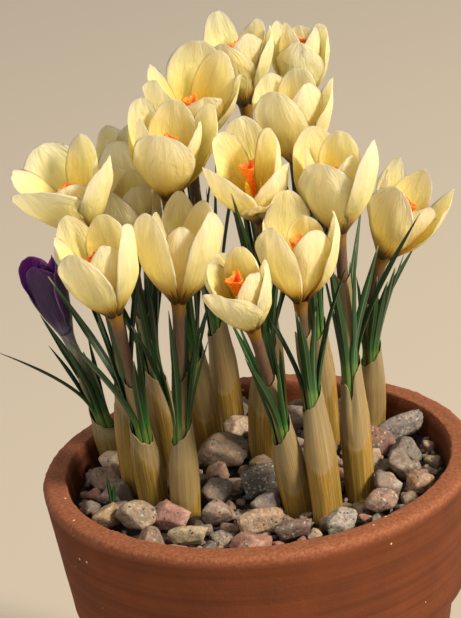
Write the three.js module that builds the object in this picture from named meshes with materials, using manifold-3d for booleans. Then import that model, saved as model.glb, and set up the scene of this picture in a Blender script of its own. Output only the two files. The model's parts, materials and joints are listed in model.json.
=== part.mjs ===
// Potted crocus: a clay pot with potting mix and a granite top dressing, in which a clump of
// cream crocuses stands, with one dark purple crocus behind it.
// Millimetres, +Z up. The origin is the centre of the pot's underside; the front faces -Y.

import * as THREE from 'three';
import { mergeVertices } from 'three/addons/utils/BufferGeometryUtils.js';
import Module from 'manifold-3d';

const wasm = await Module();
wasm.setup();

// ---------- driving dimensions ----------

const GAP = 0.3; // air between pieces that touch
const FIT = 0.35; // extra radius of the hole that a plant stands in

// pot
const POT_HEIGHT = 120;
const RIM_RADIUS = 65;
const RIM_INNER_RADIUS = 57.9;
const RIM_ROUND = 2.4;
const COLLAR_HEIGHT = 40;
const COLLAR_LOW_RADIUS = 60;
const COLLAR_STEP = 3.6;
const FOOT_RADIUS = 43;
const FLOOR_THICKNESS = 8;
const FLOOR_INNER_RADIUS = 36;
const FOOT_ROUND = 1.5;
const INNER_ROUND = 1.5;
const RIM_INNER_ROUND = 0.8;
const POT_SIDES = 30;
const DRAIN_COUNT = 3;
const DRAIN_RADIUS = 4.5;
const DRAIN_RING_RADIUS = 19;
const DRAIN_SIDES = 12;

// ground
const MIX_TOP = 106;
const BED_TOP = 115;
const STONE_LIFT = 0.165; // height of a stone's middle above the bed's top, of its half height
const STONE_ROUGHNESS = 0.08; // how far a stone's corners move in and out
const STONE_SPACING = 0.98; // least distance between stones, of their two half lengths
const STONE_TRIES = 1500;
const STONE_SEED = 4711;
const ROUGHEN_SEED = 911;

// corms
const CORM_LEVEL = 84;
const CORM_HALF_HEIGHT = 6.5;
const CORM_SIDES = 7;
const NECK_RISE = 12; // the shoot leaves its corm straight up, and bends over these lengths
const NECK_BEND = 9;

// sheaths, leaves and tubes
const STEM_SIDES = 7;
const SHEATH_RADIUS = 4.3;
const SHEATH_MOUTH_RADIUS = 4.2;
const SHEATH_CUT = 3.2; // the mouth is cut on the slant, this far up and down
const SOCKET_RADIUS = 3.5;
const SOCKET_DEPTH = 12;
const HOLE_REACH = 12; // the hole in the ground follows the shoot this far past the bed's foot
const LEAF_FOOT_RADIUS = 3.05; // foot in the socket that joins the leaves of one shoot
const LEAF_FOOT_HEIGHT = 3;
const LEAF_CIRCLE = 2.45; // the leaves rise round the tube on this radius
const TUBE_SIDES = 6;
const TUBE_RADIUS = 1.65;
const SPATHE_RADIUS = 2.4; // papery bract round the lower tube
const SPATHE_TAPER = 0.2;
const SPATHE_FROM = 4; // above the sheath's mouth
const SPATHE_FULL = 12;
const SPATHE_END = 2;
const PATH_RISE = 0.34; // shares of a shoot that keep its foot's and its cup's direction
const PATH_CUP = 0.24;
const PATH_UPRIGHT = 0.6; // how much a shoot's foot is turned upright
const LEAF_WIDTH = 2.9;
const LEAF_THICKNESS = 0.85;
const LEAF_RIDGE = 0.6; // share of its thickness outside a blade's centre line
const LEAF_STEPS = 5;
const LEAF_RISE = 0.25; // share of a blade that keeps the shoot's direction
const LEAF_FROM = 2; // the arc of a blade starts this far above the mouth
const LEAF_CHECKS = 24; // places along a blade where its clearance is measured
const LEAF_CHECK_STEP = 1.5; // and along the shoots that it has to pass
const LEAF_TRIES = 400;
const LEAF_STEP_OUT = 1.3; // the tip is moved out along a spiral in steps of this size
const LEAF_ROOM = 1.3;
const LEAF_CLEARANCE = 1.5;
const LEAF_OWN_CLEARANCE = 0.75; // from its own tube, which it starts beside
const LEAF_SEED = 2027;

// blooms
const THROAT_RADIUS = 2.3;
const THROAT_INNER_RADIUS = 1.3;
const THROAT_HEIGHT = 0.9;
const TEPAL_WIDTH = 15.6;
const TEPAL_INNER_SCALE = 0.95;
const TEPAL_NEST = 3; // how much steeper the inner tepals stand, degrees
const TEPAL_THICKNESS = 0.9;
const TEPAL_BEND = 1.5; // how fast the spread falls from the throat to the tip
const TEPAL_OUTER_BEND = 1.1; // radius of a tepal's cross curve, against its distance from the axis
const TEPAL_INNER_BEND = 0.95;
const TEPAL_ROWS = [0.26, 0.55, 0.84];
const TEPAL_OUTER_COLUMNS = [-1, -0.34, 0.34, 1];
const TEPAL_INNER_COLUMNS = [-1, 0, 1];
const TEPAL_STEPS = 24; // steps in which a tepal's centre line is summed
const TEPAL_WIDEST = 0.55;
const THROAT_TOP_RADIUS = 3;
const STAMEN_HEIGHT = 15;
const STIGMA_HEIGHT = 20;
const STIGMA_FORK = 13;
const STIGMA_LOBE_RADIUS = 3.6;
const STIGMA_NOTCH_RADIUS = 1;

// ---------- the plants ----------
// root: where the shoot leaves the gravel; cup: foot of the bloom's cup; tilt: lean of the cup to
// the right and to the front, degrees; spread: of the tepals at the throat and at the tips,
// degrees; turn: of the first outer tepal, degrees; tepal: its length; mouth: side on which the
// sheath's mouth is high, degrees from the right; sheath and spathe: their tops, measured along the
// shoot from the bed; tips: leaf tips set by hand; more: further leaves.

const SHOOTS = [
  { root: [-37, 3], cup: [-41, -4, 198], tilt: [-20, 4], spread: [62, 10], turn: 250, tepal: 31,
    mouth: 150, sheath: 30, spathe: 48, tips: [], more: 3 },
  { root: [-32, -10], cup: [-36, -27, 181], tilt: [-9, 10], spread: [60, -4], turn: 240, tepal: 32,
    mouth: 150, sheath: 25, spathe: 44, tips: [[-47, -22, 176], [-55, 2, 184], [-34, -15, 175]], more: 0 },
  { root: [-22.5, -16], cup: [-18, -15, 178], tilt: [7, 2], spread: [64, -10], turn: 210, tepal: 32,
    mouth: 20, sheath: 23, spathe: 40,
    tips: [[-32, -25, 176], [-19, -23, 180], [-13, -25, 175], [-8, -6, 177]], more: 0 },
  { root: [10, -22], cup: [2, -35, 176], tilt: [-11, 24], spread: [52, -6], turn: 230, tepal: 28,
    mouth: 20, sheath: 25, spathe: 43, tips: [[1, -36, 169], [-2, -22, 174], [7, -12, 166]], more: 0 },
  { root: [18.5, -29], cup: [16.5, -21, 177], tilt: [3, 8], spread: [64, -8], turn: 241, tepal: 32,
    mouth: 20, sheath: 33, spathe: 52, tips: [[6, -18, 174], [15, -36, 178], [31, -18, 186]], more: 0 },
  { root: [29, -16], cup: [30, -3, 190], tilt: [0, 10], spread: [58, -8], turn: 240, tepal: 32,
    mouth: 20, sheath: 34, spathe: 62, tips: [[54, 8, 190], [37, 12, 192], [24, -6, 180]], more: 1 },
  { root: [37, 33], cup: [44, 26, 170], tilt: [27, 8], spread: [58, 0], turn: 260, tepal: 31,
    mouth: 20, sheath: 22, spathe: 40, tips: [[55, 38, 169], [50, 28, 169], [32, 20, 160]], more: 1 },
  { root: [2, 12], cup: [8, 0.5, 194.5], tilt: [-7, 15], spread: [60, -1], turn: 212, tepal: 32,
    mouth: 20, sheath: 36, spathe: 60, tips: [[2, -18, 211], [-7, -6, 215]], more: 1 },
  { root: [-14, 24], cup: [-18, 8, 202], tilt: [6, 12], spread: [60, -5], turn: 260, tepal: 31,
    mouth: 20, sheath: 32, spathe: 52, tips: [], more: 3 },
  { root: [-7, 39], cup: [-10, 35, 209], tilt: [5, 18], spread: [62, 8], turn: 225, tepal: 31,
    mouth: 20, sheath: 34, spathe: 56, tips: [], more: 3 },
  { root: [7, 46], cup: [7.5, 50, 215], tilt: [-3, 0], spread: [58, -5], turn: 235, tepal: 31,
    mouth: 20, sheath: 34, spathe: 56, tips: [], more: 3 },
  { root: [21, 43], cup: [25, 57, 212], tilt: [3, -3], spread: [52, -10], turn: 265, tepal: 28,
    mouth: 20, sheath: 34, spathe: 56, tips: [], more: 3 },
  { root: [22, 24], cup: [21, 20, 204], tilt: [-2, 6], spread: [58, -6], turn: 245, tepal: 31,
    mouth: 20, sheath: 34, spathe: 56, tips: [], more: 3 },
  { root: [-32, 31], cup: [-27, 38, 188], tilt: [-5, 5], spread: [54, -10], turn: 255, tepal: 30,
    mouth: 150, sheath: 30, spathe: 48, tips: [], more: 3 },
  { root: [-26, 13], cup: [-31, 17, 181], tilt: [0, 8], spread: [56, -8], turn: 240, tepal: 30,
    mouth: 150, sheath: 30, spathe: 48, tips: [], more: 3 },
  { root: [-44, 25], cup: [-54, 27, 156], tilt: [-14, 0], spread: [30, -8], turn: 255, tepal: 26,
    mouth: 150, sheath: 12, spathe: 27, tips: [[-74, 5, 161], [-60, 26, 160]], more: 1, purple: true },
];

// corms: centre in plan, radius, and the shoots that grow from each
const CORMS = [
  { at: [-27, -12], radius: 7.5, shoots: [1, 2] },
  { at: [14, -24], radius: 7.5, shoots: [3, 4] },
  { at: [-31, 8], radius: 7.5, shoots: [0, 14] },
  { at: [-21, 26], radius: 7.5, shoots: [8, 13] },
  { at: [0, 38], radius: 7.5, shoots: [9, 10] },
  { at: [17, 32], radius: 7.5, shoots: [11, 12] },
  { at: [31, -14], radius: 7.5, shoots: [5] },
  { at: [34, 25], radius: 7.5, shoots: [6] },
  { at: [2, 11], radius: 7.5, shoots: [7] },
  { at: [-37, 23], radius: 5.6, shoots: [15] },
];

// stones that show in front: place in plan and half sizes along, across and up, and turn
const KEY_STONES = [
  { at: [1, -9], half: [7.6, 6.4, 5.6], turn: 10 },
  { at: [-27, -26], half: [6.8, 4.2, 4.2], turn: -22 },
  { at: [-37, -25], half: [6.0, 5.0, 4.8], turn: 5 },
  { at: [-46, -21], half: [5.6, 4.4, 3.6], turn: 35 },
  { at: [-22, -39], half: [5.6, 3.6, 3.2], turn: -18 },
  { at: [-10, 12], half: [7.6, 7.2, 6.2], turn: 30 },
  { at: [-2, -36], half: [6.8, 5.0, 4.6], turn: 12 },
  { at: [-13, -26], half: [5.6, 4.6, 4.6], turn: 60 },
  { at: [38, 12], half: [4.6, 5.6, 4.4], turn: 0 },
  { at: [47, -20], half: [4.2, 3.8, 3.6], turn: 20 },
  { at: [44, 20], half: [7.6, 6.0, 4.4], turn: 15 },
  { at: [21, -41], half: [5.2, 3.6, 3.6], turn: 25 },
  { at: [8, -42], half: [5.2, 4.0, 3.6], turn: -10 },
  { at: [34, -31], half: [5.0, 4.0, 3.8], turn: 40 },
];

const COLOURS = {
  clay: 0xa35f3c,
  mix: 0x3b2c20,
  granite: 0x8a8078,
  sheath: 0xc3a25c,
  leaf: 0x2a5226,
  cream: 0xf0e0a0,
  stigma: 0xff6a10,
  purple: 0x45285a,
};

// ---------- small helpers ----------

const GOLDEN_ANGLE = Math.PI * (3 - Math.sqrt(5));
const radians = (degrees) => (degrees * Math.PI) / 180;
const vec = (x, y, z) => new THREE.Vector3(x, y, z);
const mix = (a, b, t) => a + (b - a) * t;
const along = (origin, direction, distance) => origin.clone().addScaledVector(direction, distance);

// A small random generator, so that every run gives the same plant.
function seededRandom(seed) {
  let state = seed;
  return () => {
    state = (state * 16807) % 2147483647;
    return state / 2147483647;
  };
}

// A closed mesh as a solid that can be joined and cut.
function solid(geometry) {
  const bare = new THREE.BufferGeometry();
  bare.setAttribute('position', geometry.getAttribute('position').clone());
  bare.setIndex(geometry.index ? geometry.index.clone() : null);
  const merged = mergeVertices(bare, 1e-4);
  const index = merged.index.array;
  const kept = [];
  for (let i = 0; i < index.length; i += 3) {
    const [a, b, c] = [index[i], index[i + 1], index[i + 2]];
    if (a !== b && b !== c && c !== a) kept.push(a, b, c);
  }
  return new wasm.Manifold(new wasm.Mesh({
    numProp: 3,
    vertProperties: new Float32Array(merged.getAttribute('position').array),
    triVerts: new Uint32Array(kept),
  }));
}

const joined = (solids) => solids.reduce((whole, part) => whole.add(part));

function geometryOf(body) {
  const mesh = body.getMesh();
  const geometry = new THREE.BufferGeometry();
  geometry.setAttribute('position', new THREE.BufferAttribute(mesh.vertProperties.slice(), 3));
  geometry.setIndex(new THREE.BufferAttribute(mesh.triVerts.slice(), 1));
  geometry.computeVertexNormals();
  return geometry;
}

const potCrocus = new THREE.Group();

function addPiece(name, body, colour, roughness) {
  const material = new THREE.MeshStandardMaterial({ color: colour, roughness, metalness: 0 });
  const mesh = new THREE.Mesh(geometryOf(body), material);
  mesh.name = name;
  potCrocus.add(mesh);
}

const numbered = (name, index) => `${name}_${String(index + 1).padStart(2, '0')}`;

// A solid of revolution from a closed profile of [radius, height] points.
function turned(points, sides) {
  const profile = points.map(([r, z]) => new THREE.Vector2(r, z));
  profile.push(profile[0].clone());
  const geometry = new THREE.LatheGeometry(profile, sides);
  geometry.rotateX(Math.PI / 2);
  return solid(geometry);
}

// A closed skin through rings of equally many points. A ring of one point closes it to a tip.
function loft(rings) {
  const sides = Math.max(...rings.map((ring) => ring.length));
  const points = [];
  const faces = [];
  const starts = rings.map((ring) => points.push(...ring) - ring.length);
  const vertex = (row, side) => starts[row] + (rings[row].length === 1 ? 0 : side % sides);
  const last = rings.length - 1;
  for (let row = 0; row < last; row += 1) {
    for (let side = 0; side < sides; side += 1) {
      faces.push(vertex(row, side), vertex(row, side + 1), vertex(row + 1, side + 1));
      faces.push(vertex(row, side), vertex(row + 1, side + 1), vertex(row + 1, side));
    }
  }
  for (let side = 1; side + 1 < sides; side += 1) {
    if (rings[0].length > 1) faces.push(starts[0], vertex(0, side + 1), vertex(0, side));
    if (rings[last].length > 1) faces.push(starts[last], vertex(last, side), vertex(last, side + 1));
  }
  const geometry = new THREE.BufferGeometry().setFromPoints(points);
  geometry.setIndex(faces);
  return solid(geometry);
}

// Two directions across a stem, the first as near to +X as it can be.
function crossAxes(direction) {
  const right = vec(1, 0, 0).addScaledVector(direction, -direction.x).normalize();
  const back = direction.clone().cross(right);
  return [right, back];
}

// A ring of points round a stem's centre line, which may be cut on the slant.
function stemRing(centre, direction, radius, sides, slant = 0, slantTurn = 0) {
  const [right, back] = crossAxes(direction);
  const ring = [];
  for (let side = 0; side < sides; side += 1) {
    const angle = (2 * Math.PI * side) / sides;
    const lift = slant * Math.cos(angle - slantTurn);
    ring.push(along(centre, direction, lift)
      .addScaledVector(right, radius * Math.cos(angle))
      .addScaledVector(back, radius * Math.sin(angle)));
  }
  return ring;
}

// ---------- centre lines of the shoots ----------

function tiltedAxis([right, front]) {
  return vec(Math.tan(radians(right)), -Math.tan(radians(front)), 1).normalize();
}

function shootPath(shoot) {
  const foot = vec(shoot.root[0], shoot.root[1], BED_TOP);
  const cup = vec(...shoot.cup);
  const span = foot.distanceTo(cup);
  const rise = cup.clone().sub(foot).normalize().add(vec(0, 0, PATH_UPRIGHT)).normalize();
  const axis = tiltedAxis(shoot.tilt);
  const curve = new THREE.CubicBezierCurve3(
    foot,
    along(foot, rise, span * PATH_RISE),
    along(cup, axis, -span * PATH_CUP),
    cup,
  );
  return { foot, cup, axis, rise, curve, length: curve.getLength() };
}

// Point and direction at a distance along a shoot; below its foot it runs on straight.
function onShoot(path, distance) {
  if (distance < 0) return [along(path.foot, path.rise, distance), path.rise];
  const share = Math.min(distance / path.length, 1);
  return [path.curve.getPointAt(share), path.curve.getTangentAt(share)];
}

const paths = SHOOTS.map(shootPath);

// ---------- pot ----------

function buildPot() {
  const collarFoot = POT_HEIGHT - COLLAR_HEIGHT;
  const outer = [
    [0, 0],
    [FOOT_RADIUS - FOOT_ROUND, 0],
    [FOOT_RADIUS, FOOT_ROUND],
    [COLLAR_LOW_RADIUS - COLLAR_STEP, collarFoot - 2],
    [COLLAR_LOW_RADIUS - 0.6, collarFoot],
    [COLLAR_LOW_RADIUS, collarFoot + 1.5],
    [RIM_RADIUS, POT_HEIGHT - RIM_ROUND],
    [RIM_RADIUS - RIM_ROUND * 0.3, POT_HEIGHT - RIM_ROUND * 0.3],
    [RIM_RADIUS - RIM_ROUND, POT_HEIGHT],
  ];
  const inner = [
    [RIM_INNER_RADIUS + RIM_INNER_ROUND, POT_HEIGHT],
    [RIM_INNER_RADIUS, POT_HEIGHT - RIM_INNER_ROUND],
    [FLOOR_INNER_RADIUS + INNER_ROUND, FLOOR_THICKNESS + INNER_ROUND],
    [FLOOR_INNER_RADIUS, FLOOR_THICKNESS],
    [0, FLOOR_THICKNESS],
  ];
  let pot = turned([...outer, ...inner], POT_SIDES);
  for (let hole = 0; hole < DRAIN_COUNT; hole += 1) {
    const angle = (2 * Math.PI * hole) / DRAIN_COUNT + Math.PI / 2;
    const depth = 3 * FLOOR_THICKNESS;
    const drill = new THREE.CylinderGeometry(DRAIN_RADIUS, DRAIN_RADIUS, depth, DRAIN_SIDES);
    drill.rotateX(Math.PI / 2);
    drill.translate(DRAIN_RING_RADIUS * Math.cos(angle), DRAIN_RING_RADIUS * Math.sin(angle), 0);
    pot = pot.subtract(solid(drill));
  }
  return pot;
}

// Radius of the pot's inside at a height.
function potInside(z) {
  const low = FLOOR_THICKNESS + INNER_ROUND;
  const share = (z - low) / (POT_HEIGHT - RIM_INNER_ROUND - low);
  return mix(FLOOR_INNER_RADIUS + INNER_ROUND, RIM_INNER_RADIUS, share);
}

// ---------- corms and sheaths ----------

// The part of a shoot from inside its corm up to the gravel, as rings.
function neckRings(corm, path, radius) {
  const start = vec(corm.at[0], corm.at[1], CORM_LEVEL);
  const [end, direction] = onShoot(path, 0);
  const curve = new THREE.CubicBezierCurve3(
    start,
    start.clone().add(vec(0, 0, NECK_RISE)),
    along(end, direction, -NECK_BEND),
    end,
  );
  return [0, 0.55, 1].map((t) => (
    stemRing(curve.getPoint(t), curve.getTangent(t), radius, STEM_SIDES)));
}

function cormBody(corm, grow) {
  const radius = corm.radius + grow;
  const half = CORM_HALF_HEIGHT + grow;
  const profile = [[0, -half], [radius, -half * 0.35], [radius, half * 0.25], [0, half]];
  return turned(profile, CORM_SIDES).translate([corm.at[0], corm.at[1], CORM_LEVEL]);
}

// A sheath is one skin: up the outside to the slanted mouth, then down into the socket.
function sheathTube(corm, index) {
  const shoot = SHOOTS[index];
  const path = paths[index];
  const slantTurn = radians(shoot.mouth);
  const ring = (distance, radius, slant = 0) => (
    stemRing(...onShoot(path, distance), radius, STEM_SIDES, slant, slantTurn));
  return loft([
    ...neckRings(corm, path, SHEATH_RADIUS),
    ring(Math.min(HOLE_REACH, shoot.sheath * 0.55), SHEATH_RADIUS),
    ring(shoot.sheath, SHEATH_MOUTH_RADIUS, SHEATH_CUT),
    ring(shoot.sheath, SOCKET_RADIUS, SHEATH_CUT * 0.8),
    ring(shoot.sheath - SOCKET_DEPTH, SOCKET_RADIUS),
  ]);
}

const sheathBody = (corm) => (
  joined([cormBody(corm, 0), ...corm.shoots.map((index) => sheathTube(corm, index))]));

// What a plant takes out of the ground, a little larger than the plant.
function cormHole(corm) {
  const necks = corm.shoots.map((index) => {
    const path = paths[index];
    const top = stemRing(...onShoot(path, HOLE_REACH), SHEATH_RADIUS + FIT, STEM_SIDES);
    return loft([...neckRings(corm, path, SHEATH_RADIUS + FIT), top]);
  });
  return joined([cormBody(corm, FIT), ...necks]);
}

// ---------- ground ----------

function stoneBody(stone, roughen) {
  const geometry = new THREE.IcosahedronGeometry(1, 0);
  const position = geometry.getAttribute('position');
  const moved = new Map();
  for (let i = 0; i < position.count; i += 1) {
    const corner = vec().fromBufferAttribute(position, i);
    const key = corner.toArray().map((value) => value.toFixed(3)).join();
    const stretch = mix(1 - STONE_ROUGHNESS, 1 + STONE_ROUGHNESS, roughen());
    if (!moved.has(key)) moved.set(key, corner.clone().multiplyScalar(stretch));
    position.setXYZ(i, ...moved.get(key));
  }
  geometry.scale(...stone.half);
  geometry.rotateZ(radians(stone.turn));
  geometry.translate(stone.at[0], stone.at[1], BED_TOP + stone.half[2] * STONE_LIFT);
  return solid(geometry);
}

// Stones by rule: scattered, no two too near each other, none on a shoot or in the pot's wall.
function scatteredStones() {
  const random = seededRandom(STONE_SEED);
  const stones = KEY_STONES.slice();
  for (let attempt = 0; attempt < STONE_TRIES; attempt += 1) {
    const angle = 2 * Math.PI * random();
    const radius = (potInside(BED_TOP) - 5.6) * Math.sqrt(random());
    const half = [mix(4.4, 6.4, random()), mix(3.8, 5.2, random()), mix(3.4, 4.6, random())];
    const turn = 180 * random();
    const at = [radius * Math.cos(angle), radius * Math.sin(angle)];
    const far = ([x, y], reach) => Math.hypot(at[0] - x, at[1] - y) > reach;
    const room = (other) => (half[0] + other.half[0]) * STONE_SPACING;
    const freeOfStones = stones.every((other) => far(other.at, room(other)));
    const freeOfShoots = SHOOTS.every((shoot) => far(shoot.root, SHEATH_RADIUS + half[0] * 0.9));
    if (freeOfStones && freeOfShoots) stones.push({ at, half, turn });
  }
  return stones;
}

function buildGround() {
  const holes = joined(CORMS.map(cormHole));
  const mixBody = turned([
    [0, FLOOR_THICKNESS + GAP],
    [FLOOR_INNER_RADIUS - GAP, FLOOR_THICKNESS + GAP],
    [potInside(FLOOR_THICKNESS + INNER_ROUND) - 2 * GAP, FLOOR_THICKNESS + 2 * INNER_ROUND],
    [potInside(MIX_TOP) - 2 * GAP, MIX_TOP],
    [0, MIX_TOP],
  ], POT_SIDES).subtract(holes);
  const bed = turned([
    [0, MIX_TOP + GAP],
    [potInside(MIX_TOP + GAP) - 2 * GAP, MIX_TOP + GAP],
    [potInside(BED_TOP) - 2 * GAP, BED_TOP],
    [0, BED_TOP],
  ], POT_SIDES);
  const roughen = seededRandom(ROUGHEN_SEED);
  const stones = scatteredStones().map((stone) => stoneBody(stone, roughen));
  return [mixBody, joined([bed, ...stones]).subtract(holes)];
}

// ---------- blooms ----------

// Centre line of a tepal from the throat: distance from the axis, height, and spread.
function tepalLine(shoot, ring) {
  const inside = ring % 2;
  const step = (shoot.tepal * (inside ? 0.97 : 1)) / TEPAL_STEPS;
  const [low, high] = shoot.spread.map((value) => radians(value - (inside ? TEPAL_NEST : 0)));
  const spreadAt = (t) => high + (low - high) * (1 - t) ** TEPAL_BEND;
  const points = [[inside ? THROAT_INNER_RADIUS : THROAT_RADIUS, 0, low]];
  for (let i = 0; i < TEPAL_STEPS; i += 1) {
    const spread = spreadAt((i + 0.5) / TEPAL_STEPS);
    const [radius, height] = points[i];
    points.push([
      radius + step * Math.sin(spread),
      height + step * Math.cos(spread),
      spreadAt((i + 1) / TEPAL_STEPS),
    ]);
  }
  return (t) => {
    const place = Math.min(t, 0.99999) * TEPAL_STEPS;
    const i = Math.floor(place);
    return points[i].map((value, k) => mix(value, points[i + 1][k], place - i));
  };
}

// Half width of a tepal: a narrow claw, widest above the middle, then a rounded tip.
function tepalHalfWidth(t) {
  const below = Math.min(t / TEPAL_WIDEST, 1);
  const above = Math.max(0, (t - TEPAL_WIDEST) / (1 - TEPAL_WIDEST));
  const claw = 0.2 + 0.8 * Math.sin((Math.PI / 2) * below) ** 0.9;
  const tip = Math.sqrt(1 - above ** 2.1);
  return (TEPAL_WIDTH / 2) * claw * tip;
}

// Point of a tepal in the bloom's own frame; u runs across, t along, depth towards the axis.
function tepalPoint(line, ring, azimuth, u, t, depth) {
  const [radius, height, spread] = line(t);
  const wide = ring % 2 ? TEPAL_INNER_SCALE : 1;
  const bend = radius * (ring % 2 ? TEPAL_INNER_BEND : TEPAL_OUTER_BEND);
  const angle = (u * wide * tepalHalfWidth(t)) / bend;
  const sideways = (bend - depth) * Math.sin(angle);
  const inwards = bend - (bend - depth) * Math.cos(angle);
  const out = radius - inwards * Math.cos(spread);
  const up = height + inwards * Math.sin(spread);
  return vec(
    out * Math.cos(azimuth) - sideways * Math.sin(azimuth),
    out * Math.sin(azimuth) + sideways * Math.cos(azimuth),
    up,
  );
}

function tepalBody(shoot, ring) {
  const line = tepalLine(shoot, ring);
  const azimuth = radians(shoot.turn + 60 * ring);
  const columns = ring % 2 ? TEPAL_INNER_COLUMNS : TEPAL_OUTER_COLUMNS;
  const rows = TEPAL_ROWS.map((t) => {
    const face = columns.map((u) => tepalPoint(line, ring, azimuth, u, t, 0));
    const back = columns.slice(1, -1).reverse()
      .map((u) => tepalPoint(line, ring, azimuth, u, t, TEPAL_THICKNESS));
    return [face, back];
  });
  const foot = tepalPoint(line, ring, azimuth, 0, 0, TEPAL_THICKNESS / 2);
  const tip = tepalPoint(line, ring, azimuth, 0, 1, TEPAL_THICKNESS / 2);
  return bladeSolid(foot, rows, tip);
}

// A thin blade from a foot through rows of face and back points, which share their two edges, to
// a tip. Both faces are split along the same diagonals.
function bladeSolid(foot, rows, tip) {
  const columns = rows[0][0].length;
  const stride = 2 * columns - 2;
  const points = rows.flatMap(([face, back]) => [...face, ...back]);
  points.push(foot, tip);
  const last = points.length - 1;
  const front = (row, column) => row * stride + column;
  const rear = (row, column) => (
    column === 0 || column === columns - 1 ? front(row, column) : (row + 1) * stride - column);
  const faces = [];
  for (const corner of [front, rear]) {
    const add = (...ids) => faces.push(corner === front ? ids : ids.reverse());
    for (let column = 0; column + 1 < columns; column += 1) {
      add(last - 1, corner(0, column + 1), corner(0, column));
      add(corner(rows.length - 1, column), corner(rows.length - 1, column + 1), last);
      for (let row = 0; row + 1 < rows.length; row += 1) {
        const quad = [corner(row, column), corner(row, column + 1),
          corner(row + 1, column + 1), corner(row + 1, column)];
        const shift = column < (columns - 1) / 2 ? 1 : 0;
        add(quad[shift], quad[shift + 1], quad[(shift + 2) % 4]);
        add(quad[shift], quad[(shift + 2) % 4], quad[(shift + 3) % 4]);
      }
    }
  }
  const geometry = new THREE.BufferGeometry().setFromPoints(points);
  geometry.setIndex(faces.flat());
  return solid(geometry);
}

// Turns a solid from the bloom's own frame to its place on the shoot.
function seated(body, path) {
  const [right, back] = crossAxes(path.axis);
  const matrix = new THREE.Matrix4().makeBasis(right, back, path.axis).setPosition(path.cup);
  return body.transform(matrix.elements.slice());
}

function uprightRing(radius, height, sides, x = 0, y = 0) {
  return stemRing(vec(x, y, height), vec(0, 0, 1), radius, sides);
}

// The tube with its papery bract: [distance along the shoot, radius].
function tubeStations(shoot, path) {
  return [
    [shoot.sheath - SOCKET_DEPTH + LEAF_FOOT_HEIGHT + 2 * GAP, TUBE_RADIUS],
    [shoot.sheath + SPATHE_FROM, TUBE_RADIUS],
    [shoot.sheath + SPATHE_FULL, SPATHE_RADIUS],
    [shoot.spathe, SPATHE_RADIUS - SPATHE_TAPER],
    [shoot.spathe + SPATHE_END, TUBE_RADIUS],
    [path.length - 2, TUBE_RADIUS],
  ];
}

function tubeRadius(shoot, path, distance) {
  const stations = tubeStations(shoot, path);
  const next = stations.findIndex(([place]) => place > distance);
  if (next < 1) return TUBE_RADIUS;
  const [from, low] = stations[next - 1];
  const [to, high] = stations[next];
  return mix(low, high, (distance - from) / (to - from));
}

function bloomBody(shoot, path) {
  const rings = tubeStations(shoot, path).map(([distance, radius]) => (
    stemRing(...onShoot(path, distance), radius, TUBE_SIDES)));
  const throat = along(path.cup, path.axis, THROAT_HEIGHT);
  rings.push(stemRing(throat, path.axis, THROAT_TOP_RADIUS, TUBE_SIDES));
  const parts = [];
  for (let ring = 0; ring < 6; ring += 1) parts.push(tepalBody(shoot, ring));
  for (let stamen = 0; stamen < 3 && !shoot.purple; stamen += 1) {
    const angle = radians(shoot.turn + 120 * stamen + 20);
    const [x, y] = [Math.cos(angle), Math.sin(angle)];
    parts.push(loft([
      [vec(x * 1.5, y * 1.5, THROAT_HEIGHT - 0.5)],
      uprightRing(0.9, THROAT_HEIGHT + 9, 3, x * 2.2, y * 2.2),
      [vec(x * 2.5, y * 2.5, THROAT_HEIGHT + STAMEN_HEIGHT)],
    ]));
  }
  return joined([loft(rings), seated(joined(parts), path)]);
}

// The style, which opens into a trumpet of three lobes.
function stigmaBody(shoot, path) {
  const lobed = (height, wide, narrow) => {
    const ring = [];
    for (let corner = 0; corner < 6; corner += 1) {
      const radius = corner % 2 ? narrow : wide;
      const angle = radians(shoot.turn + 80 + 60 * corner);
      ring.push(vec(radius * Math.cos(angle), radius * Math.sin(angle), height));
    }
    return ring;
  };
  return seated(loft([
    lobed(THROAT_HEIGHT + GAP, 0.6, 0.6),
    lobed(STIGMA_FORK, 0.8, 0.7),
    lobed(STIGMA_HEIGHT, STIGMA_LOBE_RADIUS, STIGMA_NOTCH_RADIUS),
  ]), path);
}

// ---------- leaves ----------

// Width of a blade along its length: full from a third of the way, then tapering to the tip.
const leafShape = (t) => Math.min(1, 0.82 + t * 0.6) * Math.min(1, (1 - t) / 0.34 + 0.1);

// Centre line of a blade: up through the sheath's mouth, then in an arc to its tip.
function bladeLine(shoot, path, turn, tip) {
  const points = [];
  const start = shoot.sheath - SOCKET_DEPTH + LEAF_FOOT_HEIGHT / 2;
  for (const distance of [start, shoot.sheath + LEAF_FROM]) {
    const [centre, direction] = onShoot(path, distance);
    const [right, back] = crossAxes(direction);
    points.push(centre.clone()
      .addScaledVector(right, LEAF_CIRCLE * Math.cos(turn))
      .addScaledVector(back, LEAF_CIRCLE * Math.sin(turn)));
  }
  const rise = points[1].clone().sub(points[0]).normalize();
  const mouth = points[1];
  const arc = new THREE.QuadraticBezierCurve3(
    mouth,
    along(mouth, rise, mouth.distanceTo(tip) * LEAF_RISE),
    tip,
  );
  return { start: points[0], arc };
}

// Everything that a blade has to pass, as balls along the shoots, the cups and the blades.
const obstacles = [];

function noteShoots() {
  SHOOTS.forEach((shoot, owner) => {
    const path = paths[owner];
    for (let distance = 0; distance < path.length; distance += LEAF_CHECK_STEP) {
      const tube = tubeRadius(shoot, path, distance);
      const radius = distance < shoot.sheath + SHEATH_CUT ? SHEATH_RADIUS : tube;
      obstacles.push({ point: onShoot(path, distance)[0], radius, tube, stemOf: owner });
    }
    const line = tepalLine(shoot, 0);
    for (let t = 0; t <= 1; t += 0.1) {
      const [radius, height] = line(t);
      obstacles.push({ point: along(path.cup, path.axis, height), radius });
    }
  });
}

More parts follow.
